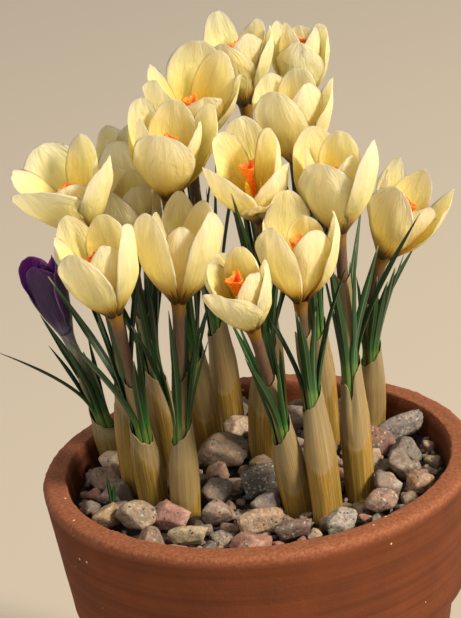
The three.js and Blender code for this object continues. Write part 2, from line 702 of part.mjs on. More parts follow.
function bladeIsClear(line, owner) {
  for (let step = 1; step <= LEAF_CHECKS; step += 1) {
    const point = line.arc.getPoint(step / LEAF_CHECKS);
    for (const { point: middle, radius, tube, stemOf } of obstacles) {
      const reach = stemOf === owner ? tube + LEAF_OWN_CLEARANCE : radius + LEAF_CLEARANCE;
      if (point.distanceTo(middle) < reach) return false;
    }
  }
  return true;
}

// The tip is moved out along a spiral until the blade is clear of all that was there before.
function clearedBlade(shoot, owner, turn, wanted) {
  let line = null;
  for (let attempt = 0; attempt < LEAF_TRIES; attempt += 1) {
    const angle = attempt * GOLDEN_ANGLE;
    const reach = LEAF_STEP_OUT * Math.sqrt(attempt);
    const tip = wanted.clone().add(vec(reach * Math.cos(angle), reach * Math.sin(angle), 0));
    line = bladeLine(shoot, paths[owner], turn, tip);
    if (bladeIsClear(line, owner)) break;
  }
  for (let step = 1; step <= LEAF_CHECKS; step += 1) {
    const point = line.arc.getPoint(step / LEAF_CHECKS);
    obstacles.push({ point, radius: LEAF_ROOM, tube: LEAF_ROOM, stemOf: owner });
  }
  return line;
}

function leafTips(shoot, path, random) {
  const [mouth, direction] = onShoot(path, shoot.sheath);
  const [right, back] = crossAxes(direction);
  const tips = shoot.tips.map((tip) => vec(...tip));
  for (let leaf = 0; leaf < shoot.more; leaf += 1) {
    const angle = (2 * Math.PI * (leaf + 0.5 * random())) / shoot.more + radians(shoot.turn);
    const reach = (path.length - shoot.sheath) * mix(0.8, 1.12, random());
    const splay = radians(mix(9, 17, random()));
    tips.push(along(mouth, direction, reach * Math.cos(splay))
      .addScaledVector(right, reach * Math.sin(splay) * Math.cos(angle))
      .addScaledVector(back, reach * Math.sin(splay) * Math.sin(angle)));
  }
  return tips;
}

// Direction in which a tip lies from the mouth, as a turn round the shoot.
function turnTowards(tip, shoot, path) {
  const [mouth, direction] = onShoot(path, shoot.sheath);
  const [right, back] = crossAxes(direction);
  const offset = tip.clone().sub(mouth);
  return Math.atan2(offset.dot(back), offset.dot(right));
}

// Leaves leave the mouth in the order of their tips, spaced evenly round the tube.
function spacedTurns(tips, shoot, path) {
  const wanted = tips.map((tip, index) => ({ index, turn: turnTowards(tip, shoot, path) }));
  wanted.sort((a, b) => a.turn - b.turn);
  const step = (2 * Math.PI) / tips.length;
  const shift = wanted.reduce((sum, item, place) => sum + item.turn - place * step, 0);
  const turns = [];
  wanted.forEach((item, place) => { turns[item.index] = shift / tips.length + place * step; });
  return turns;
}

function bladeBody(line, turn) {
  const rings = [[line.start]];
  for (let step = 0; step < LEAF_STEPS; step += 1) {
    const t = step / LEAF_STEPS;
    const point = line.arc.getPoint(t);
    const tangent = line.arc.getTangent(t);
    const [right, back] = crossAxes(tangent);
    const out = right.clone().multiplyScalar(Math.cos(turn)).addScaledVector(back, Math.sin(turn));
    const side = tangent.clone().cross(out);
    const half = (LEAF_WIDTH / 2) * leafShape(t);
    const inner = along(point, out, LEAF_THICKNESS * (LEAF_RIDGE - 1));
    rings.push([
      along(inner, side, -half),
      along(point, out, LEAF_THICKNESS * LEAF_RIDGE),
      along(inner, side, half),
    ]);
  }
  rings.push([line.arc.getPoint(1)]);
  return loft(rings);
}

function leavesBody(shoot, owner, random) {
  const path = paths[owner];
  const tips = leafTips(shoot, path, random);
  const turns = spacedTurns(tips, shoot, path);
  const low = shoot.sheath - SOCKET_DEPTH + GAP;
  const foot = loft([low, low + LEAF_FOOT_HEIGHT].map((distance) => (
    stemRing(...onShoot(path, distance), LEAF_FOOT_RADIUS, STEM_SIDES))));
  const blades = tips.map((tip, index) => (
    bladeBody(clearedBlade(shoot, owner, turns[index], tip), turns[index])));
  return joined([foot, ...blades]);
}

// ---------- assembly ----------

const [mixBody, gravelBody] = buildGround();
addPiece('pot', buildPot(), COLOURS.clay, 0.85);
addPiece('potting_mix', mixBody, COLOURS.mix, 0.95);
addPiece('gravel', gravelBody, COLOURS.granite, 0.8);

CORMS.forEach((corm, index) => {
  addPiece(numbered('sheath', index), sheathBody(corm), COLOURS.sheath, 0.6);
});

noteShoots();
const leafRandom = seededRandom(LEAF_SEED);
SHOOTS.forEach((shoot, index) => {
  const petal = shoot.purple ? COLOURS.purple : COLOURS.cream;
  addPiece(numbered('leaves', index), leavesBody(shoot, index, leafRandom), COLOURS.leaf, 0.5);
  addPiece(numbered('bloom', index), bloomBody(shoot, paths[index]), petal, 0.45);
  if (!shoot.purple) {
    addPiece(numbered('stigma', index), stigmaBody(shoot, paths[index]), COLOURS.stigma, 0.6);
  }
});

export default potCrocus;
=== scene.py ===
# Potted crocus: a clay pot with a granite top dressing, in which a clump of cream crocuses
# stands, with one dark purple crocus behind it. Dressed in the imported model's own frame.
# Lengths are millimetres until a mesh is made; +Z is up and the front faces -Y.

import json
import math
from collections import namedtuple

import bmesh
import bpy
from mathutils import Euler, Matrix, Vector, noise

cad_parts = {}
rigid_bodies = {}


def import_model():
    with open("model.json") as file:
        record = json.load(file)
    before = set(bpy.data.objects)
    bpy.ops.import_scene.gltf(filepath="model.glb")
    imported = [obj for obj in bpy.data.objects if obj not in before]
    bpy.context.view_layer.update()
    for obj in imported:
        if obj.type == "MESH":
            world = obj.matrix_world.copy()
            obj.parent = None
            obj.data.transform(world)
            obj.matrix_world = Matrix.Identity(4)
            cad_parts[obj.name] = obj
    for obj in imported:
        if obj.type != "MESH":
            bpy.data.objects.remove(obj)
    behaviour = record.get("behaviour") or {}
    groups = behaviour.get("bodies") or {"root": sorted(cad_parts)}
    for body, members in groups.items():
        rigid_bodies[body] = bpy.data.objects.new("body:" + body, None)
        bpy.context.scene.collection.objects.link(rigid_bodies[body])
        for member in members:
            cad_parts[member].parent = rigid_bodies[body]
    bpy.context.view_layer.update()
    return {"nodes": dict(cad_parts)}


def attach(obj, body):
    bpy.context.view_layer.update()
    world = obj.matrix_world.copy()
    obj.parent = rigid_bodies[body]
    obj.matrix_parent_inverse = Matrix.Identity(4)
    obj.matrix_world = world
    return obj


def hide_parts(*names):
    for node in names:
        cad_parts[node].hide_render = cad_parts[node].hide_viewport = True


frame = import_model()

MM = 0.001

# ---------- sizes of the part ----------

# pot
POT_HEIGHT = 120
RIM_RADIUS = 65
RIM_INNER_RADIUS = 57.9
RIM_ROUND = 2.4
RIM_INNER_ROUND = 0.8
COLLAR_HEIGHT = 40
COLLAR_LOW_RADIUS = 60
COLLAR_STEP = 3.6
FOOT_RADIUS = 43
FOOT_ROUND = 1.5
FLOOR_THICKNESS = 8
FLOOR_INNER_RADIUS = 36
DRAIN_RADIUS = 4.5
DRAIN_RING_RADIUS = 19
POT_SIDES = 240
STEP_SLOPE = 1.6  # how far the step's underside drops towards the wall
SECTION_PITCH = 1.6  # longest distance between the section's points
POT_UNEVENNESS = 0.35
RIM_WEAR = 0.6

# ground
GRAVEL_FOOT = 106.3
GRIT_TOP = 111.5
BED_TOP = 115
STONE_LIFT = 0.165
STONE_SPACING = 0.98
STONE_TRIES = 1500
STONE_SEED = 4711
STONE_SWELL = 1.07  # the dressed stones are a little fuller than the source's
STONE_RAISE = 0.5
STONE_HALVES = ((4.4, 6.4), (3.8, 5.2), (3.4, 4.6))  # half its length, width and height
STONE_MARGIN = 5.6  # from a stone's middle to the pot's wall
STONE_PLANES = 15
STONE_FLATS = (0.5, 0.78)  # how near its cut planes come to a stone's middle, of its radius
GRIT_SIDES = 120
GRIT_ROWS = 34
GRIT_RELIEF = 1.8

# stones between the big ones: how many, half sizes, level, seed, and share of a big stone's width
SMALL_STONES = (120, (2.0, 3.7), 113.4, 77, 0.9)
STONE_CHIPS = (260, (0.7, 1.5), 112.2, 78, 0.6)

# corms, sheaths and tubes
CORM_LEVEL = 84
CORM_HALF_HEIGHT = 6.5
CORM_STEPS = 12
CORM_SIDES = 24
NECK_RISE = 12
NECK_BEND = 9
SHEATH_RADIUS = 4.3
SHEATH_MOUTH_RADIUS = 4.2
SHEATH_CUT = 3.2
MOUTH_HUG = 0.85  # the mouth closes in on the leaves by this much
WRAP_SLANT = 9
WRAP_THICKNESS = 0.2
SHEATH_SWELL = 0.22
LIP_TEAR = 0.9
LIP_PEAK = 1.6
SPLIT_DEPTH = 7
SPLIT_WIDTH = 13  # degrees round the sheath
SPATHE_SIDES = 28
SOCKET_DEPTH = 12
HOLE_REACH = 12
STEM_SIDES = 36
TUBE_RADIUS = 1.65
TUBE_STEPS = 44
TUBE_OVERLAP = 0.9  # how far the tube runs on into the cup
SPATHE_RADIUS = 2.4
SPATHE_TAPER = 0.2
SPATHE_FROM = 4
SPATHE_FULL = 12
PATH_RISE = 0.34
PATH_CUP = 0.24
PATH_UPRIGHT = 0.6

# leaves
LEAF_CIRCLE = 2.45
LEAF_FOOT_HEIGHT = 3
LEAF_RISE = 0.25
LEAF_FROM = 2
LEAF_NARROW = 0.82
LEAF_SWAY = 0.35
BLADE_STEPS = 30
EXTRA_LEAVES = (40, 95, 160, 215, 280)  # turns of the thin leaves that fill each bundle
EXTRA_SWING = 14
EXTRA_REACH = (0.7, 1.02)  # how high their tips stand, from the sheath's mouth to the cup
EXTRA_LEAN = (4, 9)

# blooms
THROAT_RADIUS = 2.3
THROAT_INNER_RADIUS = 1.3
TEPAL_WIDTH = 15.6
TEPAL_INNER_SCALE = 0.95
TEPAL_INNER_LENGTH = 0.97
TEPAL_NEST = 3
TEPAL_BEND = 1.2
TEPAL_FUNNEL = 0.92
TEPAL_THROAT = 0.62
TEPAL_OUTER_BEND = 1.1
TEPAL_INNER_BEND = 0.95
TEPAL_WIDEST = 0.58
TEPAL_STEPS = 24
TEPAL_SHELL = 0.42
TEPAL_COLUMNS = 18
TEPAL_ROWS = 26
STIGMA_HEIGHT = 20
INNER_OFFSET = 0.75  # keeps the inner three petals clear of the outer three
GROOVE = 0.3
TIP_GROOVE = 0.35
GROOVE_WIDTH = 0.16  # of half the petal's width
RIPPLE = 0.7
CRINKLE = 0.3
EDGE_WAVE = 0.85
STAMEN_FOOT = 0.2
STAMEN_TOP = 15.6
STAMEN_OUT = (1.5, 2.6)  # distance from the bloom's axis, at foot and top
FILAMENT = (0.32, 0.3)  # half its width, and half its thickness
ANTHER = (0.95, 0.5)
STIGMA_SIDES = 60

# the stigma's rings up its outside and down inside: height, radius on a lobe and between, frill
STIGMA_RINGS = [
    (1.2, 0.5, 0.5, 0), (6, 0.62, 0.58, 0), (10, 0.82, 0.7, 0), (12.5, 1.1, 0.85, 0.05),
    (14.5, 1.4, 0.85, 0.15), (16.5, 1.9, 1.1, 0.35), (18, 2.35, 1.35, 0.6),
    (19.1, 2.75, 1.6, 0.9), (19.6, 2.8, 1.6, 1.0), (19.5, 2.4, 1.3, 0.95),
    (18.4, 1.8, 0.9, 0.6), (17.0, 1.2, 0.6, 0.3), (16.0, 0.7, 0.35, 0.1),
]

# the tiny green shoot: its foot, and how far each blade's tip stands from it
SEEDLING_FOOT = (-44.2, -12, 112.5)
SEEDLING_BLADES = ((-0.64, 0.32, 12.5), (1.12, -0.32, 9.5))
SEEDLING_WIDTH = 0.42

# the view, fitted to the ellipse of the pot's rim in the photograph, in metres and degrees
CAMERA_PLACE = (-0.0035, -0.6526, 0.4217)
CAMERA_FORWARD = (0, 0.9323, -0.3616)
CAMERA_ROLL = -5.94
CAMERA_LENS = 139.4
SENSOR_WIDTH = 36

# how far the floor reaches
FLOOR_SIDE = 4000
FLOOR_FRONT = 4000
FLOOR_BACK = 6000

# lights: place and target in metres, size, power and colour
KEY_LIGHT = ((1.95, -1.15, 1.75), (0, 0, 0.16), 0.6, 122, "#fff0d8")
FILL_LIGHT = ((-1.9, -1.6, 1.4), (0, 0, 0.15), 1.8, 18, "#f6ecdc")
SKY = ("#efeae2", 0.52)

# ---------- the plants ----------
# The same table as the part's source; leaves: turn round the tube, degrees, and tip.

Shoot = namedtuple("Shoot", "root cup tilt spread turn tepal mouth sheath spathe leaves purple")

SHOOTS = [
    Shoot((-37, 3), (-41, -4, 198), (-20, 4), (62, 10), 250, 31, 150, 30, 48,
          [(-89, (-41.2, -15.0, 195.9)), (31, (-24.6, 2.1, 202.2)), (151, (-47.2, 3.0, 187.6))],
          False),
    Shoot((-32, -10), (-36, -27, 181), (-9, 10), (60, -4), 240, 32, 150, 25, 44,
          [(246, (-50.7, -26.5, 176.0)), (126, (-55.0, 2.0, 184.0)), (6, (-30.5, -13.7, 175.0))],
          False),
    Shoot((-22.5, -16), (-18, -15, 178), (7, 2), (64, -10), 210, 32, 20, 23, 40,
          [(-199, (-32.0, -25.0, 176.0)), (-109, (-20.6, -26.1, 180.0)),
           (-19, (-13.0, -25.0, 175.0)), (71, (-8.0, -6.0, 177.0))], False),
    Shoot((10, -22), (2, -35, 176), (-11, 24), (52, -6), 230, 28, 20, 25, 43,
          [(-92, (-0.6, -39.1, 169.0)), (148, (-2.0, -22.0, 174.0)), (28, (7.0, -12.0, 166.0))],
          False),
    Shoot((18.5, -29), (16.5, -21, 177), (3, 8), (64, -8), 241, 32, 20, 33, 52,
          [(146, (6.0, -18.0, 174.0)), (-94, (15.0, -36.0, 178.0)), (26, (31.0, -18.0, 186.0))],
          False),
    Shoot((29, -16), (30, -3, 190), (0, 10), (58, -8), 240, 32, 20, 34, 62,
          [(25, (54.2, 6.2, 190.0)), (115, (38.3, 16.1, 192.0)), (-155, (24.0, -6.0, 180.0)),
           (-65, (40.7, -3.1, 184.7))], False),
    Shoot((37, 33), (44, 26, 170), (27, 8), (58, 0), 260, 31, 20, 22, 40,
          [(104, (55.0, 38.0, 169.0)), (14, (51.3, 32.1, 169.0)), (-166, (32.0, 20.0, 160.0)),
           (-76, (44.8, 22.2, 163.5))], False),
    Shoot((2, 12), (8, 0.5, 194.5), (-7, 15), (60, -1), 212, 32, 20, 36, 60,
          [(-102, (0.4, -21.1, 211.0)), (-222, (-2.5, 9.5, 215.0)), (18, (19.5, -0.4, 189.1))],
          False),
    Shoot((-14, 24), (-18, 8, 202), (6, 12), (60, -5), 260, 31, 20, 32, 52,
          [(-91, (-23.8, -2.4, 197.0)), (29, (-4.4, 16.3, 206.3)), (149, (-22.5, 24.3, 191.7))],
          False),
    Shoot((-7, 39), (-10, 35, 209), (5, 18), (62, 8), 225, 31, 20, 34, 56,
          [(-117, (-14.2, 29.8, 200.6)), (3, (7.4, 39.5, 214.3)), (123, (-15.8, 48.7, 196.6))],
          False),
    Shoot((7, 46), (7.5, 50, 215), (-3, 0), (58, -5), 235, 31, 20, 34, 56,
          [(-90, (4.7, 34.8, 205.6)), (30, (20.8, 64.4, 214.9)), (150, (-4.3, 53.3, 201.3))],
          False),
    Shoot((21, 43), (25, 57, 212), (3, -3), (52, -10), 265, 28, 20, 34, 56,
          [(-65, (27.2, 45.7, 206.4)), (55, (30.7, 74.2, 206.9)), (175, (8.5, 71.6, 217.6))],
          False),
    Shoot((22, 24), (21, 20, 204), (-2, 6), (58, -6), 245, 31, 20, 34, 56,
          [(-85, (19.8, 10.1, 200.9)), (35, (34.0, 30.9, 208.3)), (155, (8.9, 23.7, 203.4))],
          False),
    Shoot((-32, 31), (-27, 38, 188), (-5, 5), (54, -10), 255, 30, 150, 30, 48,
          [(-72, (-20.5, 30.4, 191.7)), (48, (-17.4, 48.0, 189.6)), (168, (-36.1, 44.0, 191.2))],
          False),
    Shoot((-26, 13), (-31, 17, 181), (0, 8), (56, -8), 240, 30, 150, 30, 48,
          [(-87, (-30.0, 10.3, 177.1)), (33, (-24.6, 22.3, 177.3)), (153, (-39.5, 22.4, 173.5))],
          False),
    Shoot((-44, 25), (-54, 27, 156), (-14, 0), (30, -8), 255, 26, 150, 12, 27,
          [(-127, (-74.0, 5.0, 161.0)), (-247, (-61.5, 34.1, 160.0)), (-7, (-48.9, 19.6, 151.7))],
          True),
]

# corms: centre in plan, radius, and the shoots that grow from each
CORMS = [
    ((-27, -12), 7.5, (1, 2)),
    ((14, -24), 7.5, (3, 4)),
    ((-31, 8), 7.5, (0, 14)),
    ((-21, 26), 7.5, (8, 13)),
    ((0, 38), 7.5, (9, 10)),
    ((17, 32), 7.5, (11, 12)),
    ((31, -14), 7.5, (5,)),
    ((34, 25), 7.5, (6,)),
    ((2, 11), 7.5, (7,)),
    ((-37, 23), 5.6, (15,)),
]

# how far petals differ by chance
PETAL_LEANS = (-4.5, 0.5)
PETAL_LENGTHS = (0.96, 1.02)
PETAL_WIDTHS = (1.17, 1.27)
PETAL_SWINGS = (-2, 2)
PETAL_TIPS = (0.52, 0.86)  # the higher, the more pointed
PETAL_SKEWS = (-0.5, 0.5)

# petals that stand apart from the rule, by (shoot, petal): turn, lean, length and width
PETAL_HABITS = {
    (0, 0): (8, 6, 0.9, 1.3), (0, 1): (-19, -7, 0.7, 0.98), (0, 2): (-20, 12, 0.81, 1.1),
    (0, 3): (-14, 0, 0.95, 1.2), (0, 4): (-3, -2, 0.97, 1.1), (0, 5): (4, 0, 1, 1.1),
    (1, 0): (3, -2, 0.95, 0.88), (1, 1): (-5, 0, 0.93, 0.98), (1, 2): (-20, -7, 1.02, 1),
    (1, 3): (0, 0, 0.97, 0.96), (1, 4): (2, 0, 1, 0.74),
    (2, 0): (5, 1, 1.03, 0.96), (2, 1): (0, -2, 0.94, 0.86), (2, 2): (-10, -3, 1.06, 0.94),
    (2, 3): (7, 0, 1.03, 1.08), (2, 4): (0, 0, 1.03, 0.62), (2, 5): (10, 0, 0.96, 1),
    (3, 0): (12, 4, 0.86, 1.06), (3, 1): (22, 2, 1, 0.9), (3, 2): (4, 3, 0.86, 1),
    (3, 3): (4, 0, 1.04, 1.05), (3, 4): (6, 1, 0.92, 0.8),
    (4, 0): (-18, -3, 0.98, 0.92), (4, 1): (-7, -2, 0.95, 0.9), (4, 2): (-6, -8, 1, 1),
    (4, 3): (0, 0, 0.84, 1), (4, 4): (-20, 0, 1.04, 0.78), (4, 5): (0, 9, 0.98, 1),
    (5, 0): (2, -4, 0.92, 1.14), (5, 1): (13, -3, 0.93, 1.02), (5, 2): (-26, 0, 1.04, 1.14),
    (5, 3): (0, -2, 1.02, 1.08), (5, 4): (0, -2, 1.03, 1.08),
    (6, 0): (0, 0, 0.95, 1), (6, 1): (4, 0, 0.9, 1), (6, 2): (4, -10, 1, 0.9),
    (6, 3): (19, -4, 1.02, 0.88), (6, 4): (-3, 0, 0.99, 0.58),
    (7, 0): (4, 4, 0.86, 1.14), (7, 1): (2, 46, 0.6, 0.66), (7, 2): (-10, 1, 0.72, 1.1),
    (7, 3): (-15, 0, 0.98, 1.16), (7, 4): (-2, 0, 0.95, 0.8), (7, 5): (-9, -4, 0.98, 1.04),
    (8, 0): (-7, 0, 0.95, 1.1), (8, 1): (21, 3, 0.94, 1), (8, 2): (0, 8, 1, 1),
    (8, 4): (-4, 0, 1.03, 0.82), (8, 5): (0, -2, 1.04, 0.9),
    (9, 0): (0, -6, 1.1, 1.05), (9, 1): (5, 2, 0.9, 1.04), (9, 3): (-8, 0, 1.02, 1),
    (9, 4): (-25, -2, 1.02, 1.06), (9, 5): (0, 4, 1.02, 0.9),
    (10, 0): (6, -1, 0.78, 1), (10, 1): (0, 0, 0.86, 1), (10, 2): (0, 4, 0.86, 1.1),
    (10, 3): (-31, 2, 0.92, 1.25), (10, 4): (-1, 0, 0.99, 0.68), (10, 5): (0, 0, 0.74, 1),
    (11, 0): (-4, 1, 0.8, 0.88), (11, 1): (0, 1, 0.96, 0.84), (11, 2): (0, 0, 0.9, 1),
    (11, 3): (0, 0, 0.92, 1), (11, 4): (0, 0, 0.94, 1),
    (12, 2): (-8, 7, 0.96, 1.2), (12, 4): (-6, 2, 0.96, 0.9), (12, 5): (-4, 6, 0.9, 1),
    **{(15, ring): (0, 2, 1, 0.9) for ring in (0, 2, 4)},
    **{(15, ring): (0, -2, 0.96, 0.62) for ring in (1, 3, 5)},
}
PETAL_TURNS = {0: -20, 6: -28}  # a whole bloom turned on its tube
TIP_SHAPES = {0: 0.66, 5: 0.8, 7: 0.72, 8: 0.85, 10: 1.1}  # rounder or more pointed tips
STIGMA_LIFTS = {0: -4, 9: -3.6, 3: 0.5}  # stigmas that stand lower or higher than the rule

SPLIT_MOUTHS = {5: 262}  # sheaths whose mouth is split, and where, degrees from the right

# stones that show in front: place, half sizes along, across and up, turn, colour and flecks
KEY_STONES = [
    ((1, -9), (7.6, 6.4, 5.6), 10, "#5f5e5b", 1.0),
    ((-27, -26), (6.8, 4.2, 4.2), -22, "#b98078", 0.25),
    ((-37, -25), (6.0, 5.0, 4.8), 5, "#94866f", 0.3),
    ((-46, -21), (5.6, 4.4, 3.6), 35, "#a48a66", 0.3),
    ((-22, -39), (5.6, 3.6, 3.2), -18, "#cdbb95", 0.3),
    ((-10, 12), (7.6, 7.2, 6.2), 30, "#8b7a69", 0.15),
    ((-2, -36), (6.8, 5.0, 4.6), 12, "#a88c72", 0.35),
    ((-13, -26), (5.6, 4.6, 4.6), 60, "#8f7c72", 0.25),
    ((38, 12), (4.6, 5.6, 4.4), 0, "#8c645a", 0.4),
    ((47, -20), (4.2, 3.8, 3.6), 20, "#a07c5e", 0.4),
    ((44, 20), (7.6, 6.0, 4.4), 15, "#7d7a7b", 0.5),
    ((21, -41), (5.2, 3.6, 3.6), 25, "#a3a099", 0.5),
    ((8, -42), (5.2, 4.0, 3.6), -10, "#6f5a56", 0.5),
    ((34, -31), (5.0, 4.0, 3.8), 40, "#96786a", 0.5),
]

STONE_COLOURS = ["#8a8078", "#a08672", "#9a8768", "#626265", "#8f7464", "#b29e88", "#6f6e6c",
                 "#a66e60"]

# ---------- small helpers ----------


def mix(a, b, share):
    return a + (b - a) * share


def smooth(low, high, value):
    """Rises from 0 to 1 between two values."""
    share = min(max((value - low) / (high - low), 0), 1)
    return share * share * (3 - 2 * share)


def seeded_random(seed):
    """A small random generator, so that every run gives the same plant."""
    state = [seed]

    def draw():
        state[0] = state[0] * 16807 % 2147483647
        return state[0] / 2147483647
    return draw


def linear(code):
    """sRGB hex to the linear colour that the nodes take."""
    parts = [int(code[i:i + 2], 16) / 255 for i in (1, 3, 5)]
    return tuple(c / 12.92 if c <= 0.04045 else ((c + 0.055) / 1.055) ** 2.4 for c in parts) + (1,)


def every(size):
    """The scale, a whole number, at which a pattern comes about every so many millimetres."""
    return round(1 / (size * MM))


def add(tree, kind, inputs=None, stops=None, **settings):
    """Adds a node with its settings; an input is a value, or a socket to link from."""
    node = tree.nodes.new(kind)
    for name, value in settings.items():
        setattr(node, name, value)
    if stops:
        ramp = node.color_ramp
        while len(ramp.elements) < len(stops):
            ramp.elements.new(0.5)
        for element, (place, colour) in zip(ramp.elements, stops):
            element.position = place
            element.color = linear(colour)
    for key, value in (inputs or {}).items():
        if isinstance(value, bpy.types.NodeSocket):
            tree.links.new(value, node.inputs[key])
        else:
            node.inputs[key].default_value = value
    return node.outputs


def mark(mesh, label, values):
    """Stores numbers, directions or colours on the points of a mesh."""
    if isinstance(values[0], (int, float)):
        kind, field, flat = "FLOAT", "value", values
    else:
        kind, field = {3: ("FLOAT_VECTOR", "vector"), 4: ("FLOAT_COLOR", "color")}[len(values[0])]
        flat = [number for value in values for number in value]
    mesh.attributes.new(label, kind, "POINT").data.foreach_set(field, flat)


def mesh_of(name, points, faces, marks=None, edges=()):
    mesh = bpy.data.meshes.new(name)
    mesh.from_pydata([Vector(point) * MM for point in points], list(edges), faces)
    for label, values in (marks or {}).items():
        mark(mesh, label, values)
    mesh.update()
    return mesh


def show(name, mesh, material, slot, nodes):
    """Makes a finished piece of a mesh, riding on the pot and standing for CAD nodes."""
    piece = bpy.data.objects.new(name, mesh)
    bpy.context.scene.collection.objects.link(piece)
    mesh.materials.clear()
    mesh.materials.append(material)
    mesh.polygons.foreach_set("use_smooth", [True] * len(mesh.polygons))
    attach(piece, "root")
    if nodes:
        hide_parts(*nodes)


def grown(name, mesh, tree, settings):
    """Runs a node tree on a mesh and gives back its result as a plain mesh."""
    holder = bpy.data.objects.new(name, mesh)
    bpy.context.scene.collection.objects.link(holder)
    modifier = holder.modifiers.new("grow", "NODES")
    modifier.node_group = tree
    for item in tree.interface.items_tree:
        if item.in_out == "INPUT" and item.name in settings:
            modifier[item.identifier] = settings[item.name]
    graph = bpy.context.evaluated_depsgraph_get()
    result = bpy.data.meshes.new_from_object(holder.evaluated_get(graph), depsgraph=graph)
    bpy.data.objects.remove(holder)
    turn_outwards(result)
    return result


def geometry_tree(name, inputs, output):
    """A node tree with named inputs and one output, and what its inputs give."""
    tree = bpy.data.node_groups.new(name, "GeometryNodeTree")
    for label, kind in inputs.items():
        tree.interface.new_socket(label, in_out="INPUT", socket_type="NodeSocket" + kind)
    tree.interface.new_socket(output, in_out="OUTPUT", socket_type="NodeSocketGeometry")
    return tree, add(tree, "NodeGroupInput")


def end_tree(tree, geometry, finish):
    """Realises the instances, sets the material and hands the geometry out."""
    real = add(tree, "GeometryNodeRealizeInstances", {"Geometry": geometry})["Geometry"]
    done = add(tree, "GeometryNodeSetMaterial", {"Geometry": real, "Material": finish})["Geometry"]
    add(tree, "NodeGroupOutput", {0: done})
    return tree


def turn_outwards(mesh):
    """Turns a closed skin right side out, if it came out wrong."""
    shape = bmesh.new()
    shape.from_mesh(mesh)
    if shape.calc_volume(signed=True) < 0:
        bmesh.ops.reverse_faces(shape, faces=shape.faces)
        shape.to_mesh(mesh)
    shape.free()


def skin(rings):
    """Closed skin through rings of equally many points; a ring of one point is a tip."""
    sides = max(len(ring) for ring in rings)
    points = []
    starts = []
    for ring in rings:
        starts.append(len(points))
        points.extend(ring)

    def corner(row, side):
        return starts[row] + (0 if len(rings[row]) == 1 else side % sides)

    faces = []
    last = len(rings) - 1
    for row in range(last):
        for side in range(sides):
            corners = [corner(row, side), corner(row, side + 1),
                       corner(row + 1, side + 1), corner(row + 1, side)]
            faces.append(list(dict.fromkeys(corners)))
    if len(rings[0]) > 1:
        faces.append([corner(0, side) for side in reversed(range(sides))])
    if len(rings[last]) > 1:
        faces.append([corner(last, side) for side in range(sides)])
    return points, faces


def gathered(parts):
    """Joins several (points, faces, marks) into one."""
    points, faces, marks = [], [], {}
    for part_points, part_faces, part_marks in parts:
        shift = len(points)
        points.extend(part_points)
        faces.extend([index + shift for index in face] for face in part_faces)
        for label, values in part_marks.items():
            marks.setdefault(label, []).extend(values)
    return points, faces, marks


def cross_axes(direction):
    """Two directions across a stem, the first as near to +X as it can be."""
    right = (Vector((1, 0, 0)) - direction * direction.x).normalized()
    return right, direction.cross(right)


def outwards(direction, turn):
    """The way out from a stem at a turn round it."""
    right, back = cross_axes(direction)
    return right * math.cos(turn) + back * math.sin(turn)


def ring_angles(count):
    return [2 * math.pi * side / count for side in range(count)]


def ring_noise(angle, waves, phase):
    """Noise between about -1 and 1 that closes on itself round a ring."""
    return noise.noise(Vector((math.cos(angle) * waves, math.sin(angle) * waves, phase)))


def numbered(name, index):
    return f"{name}_{index + 1:02d}"


# ---------- centre lines of the shoots ----------


def bezier(points, t):
    """Point and direction on a curve of three or four control points."""
    order = len(points) - 1
    place = Vector((0, 0, 0))
    slope = Vector((0, 0, 0))
    for k, point in enumerate(points):
        place += point * (math.comb(order, k) * t ** k * (1 - t) ** (order - k))
    for k in range(order):
        weight = math.comb(order - 1, k) * t ** k * (1 - t) ** (order - 1 - k)
        slope += (points[k + 1] - points[k]) * weight
    return place, slope.normalized()


class ShootPath:
    """The centre line of a shoot, from the gravel to the foot of its bloom's cup."""

    def __init__(self, shoot):
        self.foot = Vector((*shoot.root, BED_TOP))
        self.cup = Vector(shoot.cup)
        lean = [math.tan(math.radians(angle)) for angle in shoot.tilt]
        self.axis = Vector((lean[0], -lean[1], 1)).normalized()
        span = (self.cup - self.foot).length
        upright = (self.cup - self.foot).normalized() + Vector((0, 0, PATH_UPRIGHT))
        self.rise = upright.normalized()
        self.points = [self.foot, self.foot + self.rise * span * PATH_RISE,
                       self.cup - self.axis * span * PATH_CUP, self.cup]
        self.lengths = [0]
        for step in range(200):
            here, there = (bezier(self.points, (step + k) / 200)[0] for k in (0, 1))
            self.lengths.append(self.lengths[-1] + (there - here).length)
        self.length = self.lengths[-1]

    def at(self, distance):
        """Point and direction at a distance; past either end it runs on straight."""
        if distance < 0:
            return self.foot + self.rise * distance, self.rise
        if distance > self.length:
            return self.cup + self.axis * (distance - self.length), self.axis
        step = next(i for i in range(200) if self.lengths[i + 1] >= distance - 1e-9)
        low, high = self.lengths[step:step + 2]
        return bezier(self.points, (step + (distance - low) / (high - low)) / 200)


PATHS = [ShootPath(shoot) for shoot in SHOOTS]


def stem_ring(centre, direction, radii, lifts=None):
    """A ring of points round a stem, with its own radius and lift at each point."""
    right, back = cross_axes(direction)
    lifts = lifts or [0] * len(radii)
    return [centre + direction * lift + right * radius * math.cos(angle)
            + back * radius * math.sin(angle)
            for angle, radius, lift in zip(ring_angles(len(radii)), radii, lifts)]


# ---------- materials ----------


def blank_material(name):
    material = bpy.data.materials.new(name)
    material.use_nodes = True
    material.node_tree.nodes.clear()
    return material, material.node_tree


COLOUR_A, COLOUR_B, COLOUR_OUT = 6, 7, 2  # sockets of a Mix node that mixes colours


def finished(tree, surface):
    add(tree, "ShaderNodeOutputMaterial", {"Surface": surface["BSDF"]})


